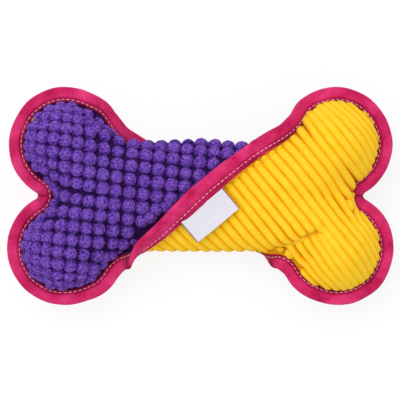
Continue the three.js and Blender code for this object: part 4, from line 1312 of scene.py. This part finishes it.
def tape_section(shown, lay):
    """The folded tape across its width: out from the seam, and through it."""
    bend = shown - TAPE_FOLD
    inner = TAPE_HALF - TAPE_THICKNESS
    edge = TAPE_INNER_EDGE - TAPE_OVERHANG * math.sin(lay)
    steps = range(TAPE_FACE_STEPS + 1)
    face = [(edge + (bend - edge) * k / TAPE_FACE_STEPS, TAPE_HALF) for k in steps]
    fold = []
    for angle in TAPE_FOLD_ANGLES:
        fold.append((bend + TAPE_FOLD * math.cos(angle), TAPE_HALF * math.sin(angle)))
    back = [(out, -through) for out, through in face[::-1]]
    deep = bend - TAPE_FOLD_ROOM
    lining = [(edge, -inner), (deep, -inner), (deep, inner), (edge, inner)]
    return face + fold + back + lining


def tape_piece():
    """The tape round the whole seam, with the shade of its folds and its own measure for the weave."""
    count = len(TAPE_POINT)
    wave = TAPE_WAVE[0] * round_noise(*TAPE_WAVE[1:])
    edge = TAPE_EDGE_WAVE[0] * round_noise(*TAPE_EDGE_WAVE[1:])
    from_notch = np.where(np.abs(TAPE_POINT[:, 0]) > LOBE_REACH, TAPE_POINT[:, 1], 1.0)
    crease = NOTCH_CREASE * bell(from_notch, NOTCH_CREASE_SPAN)
    flip_middle, flip_width = FLIP_SHADE
    folded = bell(TAPE_FRAMES["turned"] - flip_middle, flip_width)
    folded = np.maximum(folded, bell(from_notch, NOTCH_SHADE_SPAN))
    by_stitch = STITCH_SHADES[0] - STITCH_SHADES[1] * TAPE_LAID
    sections = [tape_section(*pair) for pair in zip(TAPE_FRAMES["shown"], TAPE_FRAMES["lay"])]
    rings, across, shades = [], [], []
    for k in range(len(sections[0])):
        out = np.array([section[k][0] for section in sections])
        through = np.array([section[k][1] for section in sections])
        share = (out - TAPE_INNER_EDGE) / (TAPE_FRAMES["shown"] - TAPE_INNER_EDGE)
        lift = wave * share**2 + PUCKERS * bell(out - STITCH_LINE, PUCKER_SPAN) * np.sign(through)
        dent = np.maximum(STITCH_DENT * bell(out - STITCH_LINE, STITCH_DENT_SPAN), crease)
        facing = np.where(np.abs(through) > TAPE_HALF / 2, np.sign(through), 0)
        ring = binding_ring(TAPE_FRAMES, out + edge * share**2, through + lift - dent * facing)
        ring[:, 2] = np.maximum(ring[:, 2], FLOOR_CONTACT)
        rings.append(ring)
        across.append(out)
        past_stitch = eased(out, STITCH_LINE, STITCH_LINE + STITCH_SHADE_SPAN)
        shades.append(np.maximum(folded, (1 - past_stitch) * by_stitch))
    mesh = closed_shell("edge_binding", rings, ring_faces(len(rings), count, joined=True))
    shade = mesh.attributes.new("shade", "FLOAT", "POINT")
    shade.data.foreach_set("value", np.concatenate(shades).astype(np.float32))
    layer = mesh.uv_layers.new(name="tape")
    for face in mesh.polygons:
        samples = [corner % count for corner in face.vertices]
        for loop, corner in zip(face.loop_indices, face.vertices):
            ring, sample = divmod(corner, count)
            wrapped = sample == 0 and count - 1 in samples
            layer.data[loop].uv = (TAPE_RUN[-1] if wrapped else TAPE_RUN[sample], across[ring][sample])
    return place_object("tape", mesh)


def tape_finish():
    """Pink grosgrain: fine cross ribs, a little worn, and darker by the stitch and in the folds, as painted
    shade.
    """
    finish, tree, shader = new_finish("pink_grosgrain", 0.75, sheen=0.04)
    measure = add_node(tree, "ShaderNodeUVMap", uv_map="tape")
    parts = add_node(tree, "ShaderNodeSeparateXYZ", {0: measure.outputs[0]})
    turns = reckon(tree, "MULTIPLY", parts.outputs["X"], 2 * math.pi / TAPE_RIB_PITCH)
    wave = reckon(tree, "SINE", turns)
    worn = grain(tree, TAPE_WEAR, 4.0)
    fine = grain(tree, TAPE_SPECKS, 2.0)
    total = reckon(tree, "ADD", worn, reckon(tree, "MULTIPLY", wave, TAPE_RIB_WEIGHT))
    lit = reckon(tree, "ADD", total, reckon(tree, "MULTIPLY", fine, TAPE_SPECK_WEIGHT))
    # The shade held on the mesh darkens the tape by the stitch, at the notch creases and at the flips:
    # painted shade.
    shaded = reckon(tree, "MULTIPLY", from_mesh(tree, "shade"), TAPE_SHADE_WEIGHT)
    share = reckon(tree, "SUBTRACT", lit, shaded)
    stops = [
        (0.15, paint(138, 4, 46)),
        (0.35, paint(180, 12, 68)),
        (0.62, paint(222, 38, 106)),
        (0.9, paint(250, 72, 140)),
    ]
    coloured(tree, shader, share, stops)
    bumped(tree, shader, wave, 0.6, 0.0004)
    return finish


tape = tape_piece()
tape.data.materials.append(tape_finish())
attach(tape, "cover")
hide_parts("edge_binding")

# The lockstitch: a pale thread run round the binding near its inner edge, through both folds.
# On each face it shows as a row of short plump stitches that sink into the tape at their ends.
STITCH_PITCH = 0.00375
STITCH_LENGTH = 0.0030
STITCH_VARIES = (0.9, 1.08)
STITCH_PROUD = 0.0002
STITCH_SEED = 3
THREAD_RADIUS = 0.00036
THREAD_TWIST = 2200


def stitch_tree():
    """Long balls of thread set end to end along the stitch line."""
    tree, entry, result = geometry_tree(
        "lockstitch",
        [
            ("Path", "NodeSocketGeometry"),
            ("Pitch", "NodeSocketFloat"),
            ("Length", "NodeSocketFloat"),
            ("Shortest", "NodeSocketFloat"),
            ("Longest", "NodeSocketFloat"),
            ("Thread Radius", "NodeSocketFloat"),
            ("Seed", "NodeSocketInt"),
            ("Finish", "NodeSocketMaterial"),
        ],
        "Stitches",
    )
    path = add_node(tree, "GeometryNodeMeshToCurve", {"Mesh": entry.outputs["Path"]})
    seats = add_node(tree, "GeometryNodeCurveToPoints", {"Curve": path.outputs[0]}, mode="LENGTH")
    tree.links.new(entry.outputs["Pitch"], seats.inputs["Length"])
    ball = add_node(tree, "GeometryNodeMeshIcoSphere", {"Radius": 1.0, "Subdivisions": 2})
    half = reckon(tree, "MULTIPLY", entry.outputs["Length"], 0.5)
    thread = entry.outputs["Thread Radius"]
    size = add_node(tree, "ShaderNodeCombineXYZ", {"X": half, "Y": thread, "Z": thread})
    stretch = {"Geometry": ball.outputs["Mesh"], "Scale": size.outputs[0]}
    stitch = add_node(tree, "GeometryNodeTransform", stretch)
    facing = {"Vector": seats.outputs["Tangent"]}
    turned = add_node(tree, "FunctionNodeAlignRotationToVector", facing, axis="X")
    limits = {"Min": entry.outputs["Shortest"], "Max": entry.outputs["Longest"]}
    vary = add_node(tree, "FunctionNodeRandomValue", {**limits, "Seed": entry.outputs["Seed"]})
    copies = add_node(
        tree,
        "GeometryNodeInstanceOnPoints",
        {
            "Points": seats.outputs["Points"],
            "Instance": stitch.outputs[0],
            "Rotation": turned.outputs[0],
            "Scale": vary.outputs["Value"],
        },
    )
    end_tree(tree, entry, result, copies.outputs[0])
    return tree


def thread_finish():
    """Pale pink thread with the shade of its twist."""
    finish, tree, shader = new_finish("pale_thread", 0.6, sheen=0.1)
    ply = grain(tree, THREAD_TWIST, 2.0)
    coloured(tree, shader, ply, [(0.3, paint(214, 128, 160)), (0.6, paint(240, 190, 208))])
    bumped(tree, shader, ply, 0.4, 0.0003)
    return finish


stitches = stitch_tree()
pale_thread = thread_finish()
for thread, side in (("needle", 1), ("bobbin", -1)):
    height = side * (TAPE_HALF - STITCH_DENT + PUCKERS + STITCH_PROUD)
    path = binding_ring(TAPE_FRAMES, STITCH_LINE, height)
    loop = [(i, (i + 1) % len(path)) for i in range(len(path))]
    row = seat_points(f"{thread}_stitches", path, TAPE_FRAMES["face"] * side, loop)
    grown(
        row,
        stitches,
        {
            "Pitch": STITCH_PITCH,
            "Length": STITCH_LENGTH,
            "Shortest": STITCH_VARIES[0],
            "Longest": STITCH_VARIES[1],
            "Thread Radius": THREAD_RADIUS,
            "Seed": STITCH_SEED + side,
            "Finish": pale_thread,
        },
    )
    kept_above(row, FLOOR_CONTACT / 2)
    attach(row, "cover")
    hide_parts(f"{thread}_thread")

# The label: a strip of woven satin folded double, its two ends caught under the binding's edge.
# It is left bare, and a dark thread overlocks its two short sides.
LABEL_HINGE = np.array([0.001260, -0.007569, 0.054713])
LABEL_ACROSS = np.array([0.76949, 0.63612, 0.05687])
LABEL_DOWN = np.array([0.63774, -0.76058, -0.12169])
LABEL_UP = np.array([0.03416, -0.12991, 0.99094])
LABEL_LENGTH = 0.040
LABEL_DROP = 0.019
LABEL_PLY = 0.0003
LABEL_ROOM = 0.0004
LABEL_CAUGHT = 0.0008
LABEL_FOLD = 0.0006
LABEL_CURL = 0.0008
LABEL_SAG = 0.0008
LABEL_WAVE = (0.0004, 5.5, 90)
LABEL_STATIONS = 41
LABEL_ROWS = 22
LABEL_EDGES = (0.955, 0.985)
LABEL_WEAVE = 1600


def label_section():
    """The folded strip across its length, as a closed loop of drop from the hinge and height."""
    drops = np.linspace(-LABEL_CAUGHT, LABEL_DROP - LABEL_FOLD, LABEL_ROWS)
    inside = LABEL_ROOM / 2
    outside = inside + LABEL_PLY

    def bend(radius, angles):
        """The turn of the fold at a radius from its middle."""
        turns = np.radians(angles)
        return [(drops[-1] + radius * math.cos(a), radius * math.sin(a)) for a in turns]

    section = [(drop, outside) for drop in drops]
    section += bend(outside, [60, 30, 0, -30, -60])
    section += [(drop, -outside) for drop in drops[::-1]]
    section += [(drop, -inside) for drop in drops]
    section += bend(inside, [-60, 0, 60])
    section += [(drop, inside) for drop in drops[::-1]]
    return section


def label_piece():
    """The folded strip, carried across the label's length with a little curl, sag and wave."""
    section = label_section()
    wave_height, wave_across, wave_down = LABEL_WAVE
    rings = []
    for share in np.linspace(-0.5, 0.5, LABEL_STATIONS):
        ring = []
        for drop, height in section:
            curl = LABEL_CURL * (2 * share) ** 2 * max(drop, 0) / LABEL_DROP
            wave = wave_height * math.sin(wave_across * share + wave_down * drop)
            sag = LABEL_SAG * math.sin(math.pi * min(max(drop / LABEL_DROP, 0), 1))
            along = LABEL_ACROSS * LABEL_LENGTH * share
            ring.append(LABEL_HINGE + along + LABEL_DOWN * drop + LABEL_UP * (height + wave - sag - curl))
        rings.append(ring)
    count = len(section)
    faces = ring_faces(LABEL_STATIONS, count)
    faces.append(tuple(range(count)))
    faces.append(tuple(range((LABEL_STATIONS - 1) * count, LABEL_STATIONS * count)))
    mesh = closed_shell("label", rings, faces)
    along = mesh.attributes.new("along", "FLOAT", "POINT")
    values = np.repeat(np.linspace(-1, 1, LABEL_STATIONS), count)
    along.data.foreach_set("value", values.astype(np.float32))
    return place_object("woven_label", mesh)


def label_finish():
    """Pale satin with dark overlocked ends."""
    finish, tree, shader = new_finish("label_satin", 0.55, sheen=0.1)
    weave = grain(tree, LABEL_WEAVE, 2.0)
    cloth = ramp(tree, weave, [(0.3, paint(214, 211, 226)), (0.65, paint(234, 232, 241))])
    edge = stretched(tree, reckon(tree, "ABSOLUTE", from_mesh(tree, "along")), *LABEL_EDGES)
    colours = {"Factor": edge, "A": cloth, "B": paint(96, 92, 150)}
    mixed = add_node(tree, "ShaderNodeMix", colours, data_type="RGBA")
    tree.links.new(mixed.outputs["Result"], shader.inputs["Base Color"])
    bumped(tree, shader, weave, 0.3, 0.0003)
    return finish


label = label_piece()
label.data.materials.append(label_finish())
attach(label, "label")
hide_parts("label")

# The filling: loose white polyester fibre, teased out and pushed into each end of the sewn cover.
# Its two lots meet at the middle of the waist, where they leave a round pocket for the squeaker.
FIBRE_RISES = np.radians([90, 76, 62, 48, 34, 20, 8])
FIBRE_INSET = 0.0062
FIBRE_GAP = 0.00015
FIBRE_LUMP_SPAN = 0.012
FIBRE_LUMPS = 0.0010
FIBRE_SEED = 11
FIBRE_STRANDS = 700
POCKET_RADIUS = 0.0203
POCKET_TOP = 0.0108
POCKET_BOTTOM = -0.0121
POCKET_SIDES = 48


def fibre_lump():
    """The whole filling as one closed form, drawn in from the outside of the cover."""
    count = len(COVER_POINT)
    halves = []
    for side in (1, -1):
        outer = np.concatenate([body_ring(r, side) for r in FIBRE_RISES])
        faces = ring_faces(len(FIBRE_RISES), count)
        normals = outward_normals(outer, [face[::-1] for face in faces] if side < 0 else faces)
        push = lumpy(outer, FIBRE_LUMP_SPAN, FIBRE_LUMPS, FIBRE_SEED + side) - FIBRE_INSET
        if side < 0:
            push = push + tuck_push(outer)
        inside = outer + normals * push[:, None]
        inside[:, 2] = np.maximum(inside[:, 2], FLOOR_CONTACT + FIBRE_INSET)
        halves.append(inside.reshape(len(FIBRE_RISES), count, 3))
    rings = [*halves[0], *halves[1][::-1]]
    return closed_shell("fibre_lump", rings, ring_faces(len(rings), count), merge=True)


def pocket_form():
    """The room for the squeaker, to be cut from the filling."""
    form = bmesh.new()
    bmesh.ops.create_cone(
        form,
        cap_ends=True,
        segments=POCKET_SIDES,
        radius1=POCKET_RADIUS,
        radius2=POCKET_RADIUS,
        depth=POCKET_TOP - POCKET_BOTTOM,
    )
    bmesh.ops.translate(form, verts=form.verts, vec=(0, 0, SEAM_HEIGHT + (POCKET_TOP + POCKET_BOTTOM) / 2))
    mesh = bpy.data.meshes.new("pocket_form")
    form.to_mesh(mesh)
    form.free()
    return place_object("pocket_form", mesh)


def half_filling(name, end):
    """The filling of one end, cut off square at the middle of the waist."""
    half = bmesh.new()
    half.from_mesh(whole_filling)
    everything = half.verts[:] + half.edges[:] + half.faces[:]
    cut = bmesh.ops.bisect_plane(
        half, geom=everything, plane_co=(end * FIBRE_GAP, 0, 0), plane_no=(-end, 0, 0), clear_outer=True
    )
    rim = [part for part in cut["geom_cut"] if isinstance(part, bmesh.types.BMEdge)]
    bmesh.ops.contextual_create(half, geom=rim)
    bmesh.ops.triangulate(half, faces=[face for face in half.faces if len(face.verts) > 4])
    bmesh.ops.recalc_face_normals(half, faces=half.faces)
    mesh = bpy.data.meshes.new(name)
    half.to_mesh(mesh)
    half.free()
    return place_object(f"{name}_fibre", mesh)


def fibre_finish():
    """White fibre with the shade of loose strands."""
    finish, tree, shader = new_finish("white_fibre", 1.0, sheen=0.3)
    strand = grain(tree, FIBRE_STRANDS, 6.0)
    coloured(tree, shader, strand, [(0.3, paint(222, 219, 212)), (0.65, paint(248, 247, 243))])
    bumped(tree, shader, strand, 0.9, 0.0012)
    return finish


whole_filling = fibre_lump()
pocket = pocket_form()
white_fibre = fibre_finish()
for end, fibre_name in ((-1, "left_stuffing"), (1, "right_stuffing")):
    fibre = half_filling(fibre_name, end)
    hollow = fibre.modifiers.new("pocket", "BOOLEAN")
    hollow.operation = "DIFFERENCE"
    hollow.object = pocket
    hollow.solver = "EXACT"
    made_plain(fibre)
    fibre.data.shade_smooth()
    fibre.data.materials.clear()
    fibre.data.materials.append(white_fibre)
    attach(fibre, "cover")
    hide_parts(fibre_name)
bpy.data.objects.remove(pocket)

# The squeaker: a soft blown bladder in a base, a side wall and a top, with a reed insert in its base.
# The wall folds down as the top is pressed. Air leaves past the reed, which flaps on its tongue.
WALL_RADIUS = 0.0190
WALL_THICKNESS = 0.0012
WALL_BULGE = 0.0010
WALL_PLEAT = 0.0003
WALL_PLEATS = 3
WALL_ROWS = 25
WALL_SIDES = 64
PLASTIC_SHINE = 0.5
PLASTIC_UNEVEN = 240


def plastic_finish(name, light, dark, roughness, bump):
    """Plain plastic with a faint unevenness from the mould."""
    finish, tree, shader = new_finish(name, roughness)
    shader.inputs["Specular IOR Level"].default_value = PLASTIC_SHINE
    skin = grain(tree, PLASTIC_UNEVEN, 4.0)
    coloured(tree, shader, skin, [(0.3, dark), (0.7, light)])
    bumped(tree, shader, skin, bump, 0.0003)
    return finish


def squeaker_wall():
    """The flexible side wall as a turned ring with three soft pleats."""
    low_corner, high_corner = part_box("squeaker_wall")
    heights = np.linspace(low_corner.z, high_corner.z, WALL_ROWS)
    middle, half = (heights[0] + heights[-1]) / 2, (heights[-1] - heights[0]) / 2
    swell = WALL_BULGE * (1 - ((heights - middle) / half) ** 2)
    pleat = WALL_PLEAT * np.sin(WALL_PLEATS * np.pi * (heights - middle) / half)
    outline = [(WALL_RADIUS + s + p - WALL_PLEAT, h) for s, p, h in zip(swell, pleat, heights)]
    outline += [(radius - WALL_THICKNESS, height) for radius, height in outline[::-1]]
    turn = 2 * np.pi * np.arange(WALL_SIDES) / WALL_SIDES
    rings = []
    for radius, height in outline:
        level = np.full(WALL_SIDES, height)
        rings.append(np.stack([radius * np.cos(turn), radius * np.sin(turn), level], 1))
    faces = ring_faces(len(rings), WALL_SIDES, joined=True)
    return place_object("bladder_wall", closed_shell("bladder_wall", rings, faces))


soft_plastic = plastic_finish("bladder_plastic", paint(236, 236, 231), paint(222, 222, 216), 0.45, 0.15)
reed_plastic = plastic_finish("insert_plastic", paint(220, 224, 229), paint(205, 210, 217), 0.4, 0.1)
reed_film = plastic_finish("reed_film", paint(196, 212, 220), paint(182, 200, 208), 0.25, 0.05)
finishes = {
    "squeaker_base": soft_plastic,
    "squeaker_top": soft_plastic,
    "reed_sleeve": reed_plastic,
    "reed_tongue": reed_plastic,
    "reed_wedge": reed_plastic,
    "reed": reed_film,
}
for node_name, plastic in finishes.items():
    node = frame["nodes"][node_name]
    node.data.materials.clear()
    node.data.materials.append(plastic)

wall = squeaker_wall()
wall.data.materials.append(soft_plastic)
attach(wall, "cover")
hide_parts("squeaker_wall")
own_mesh(wall)
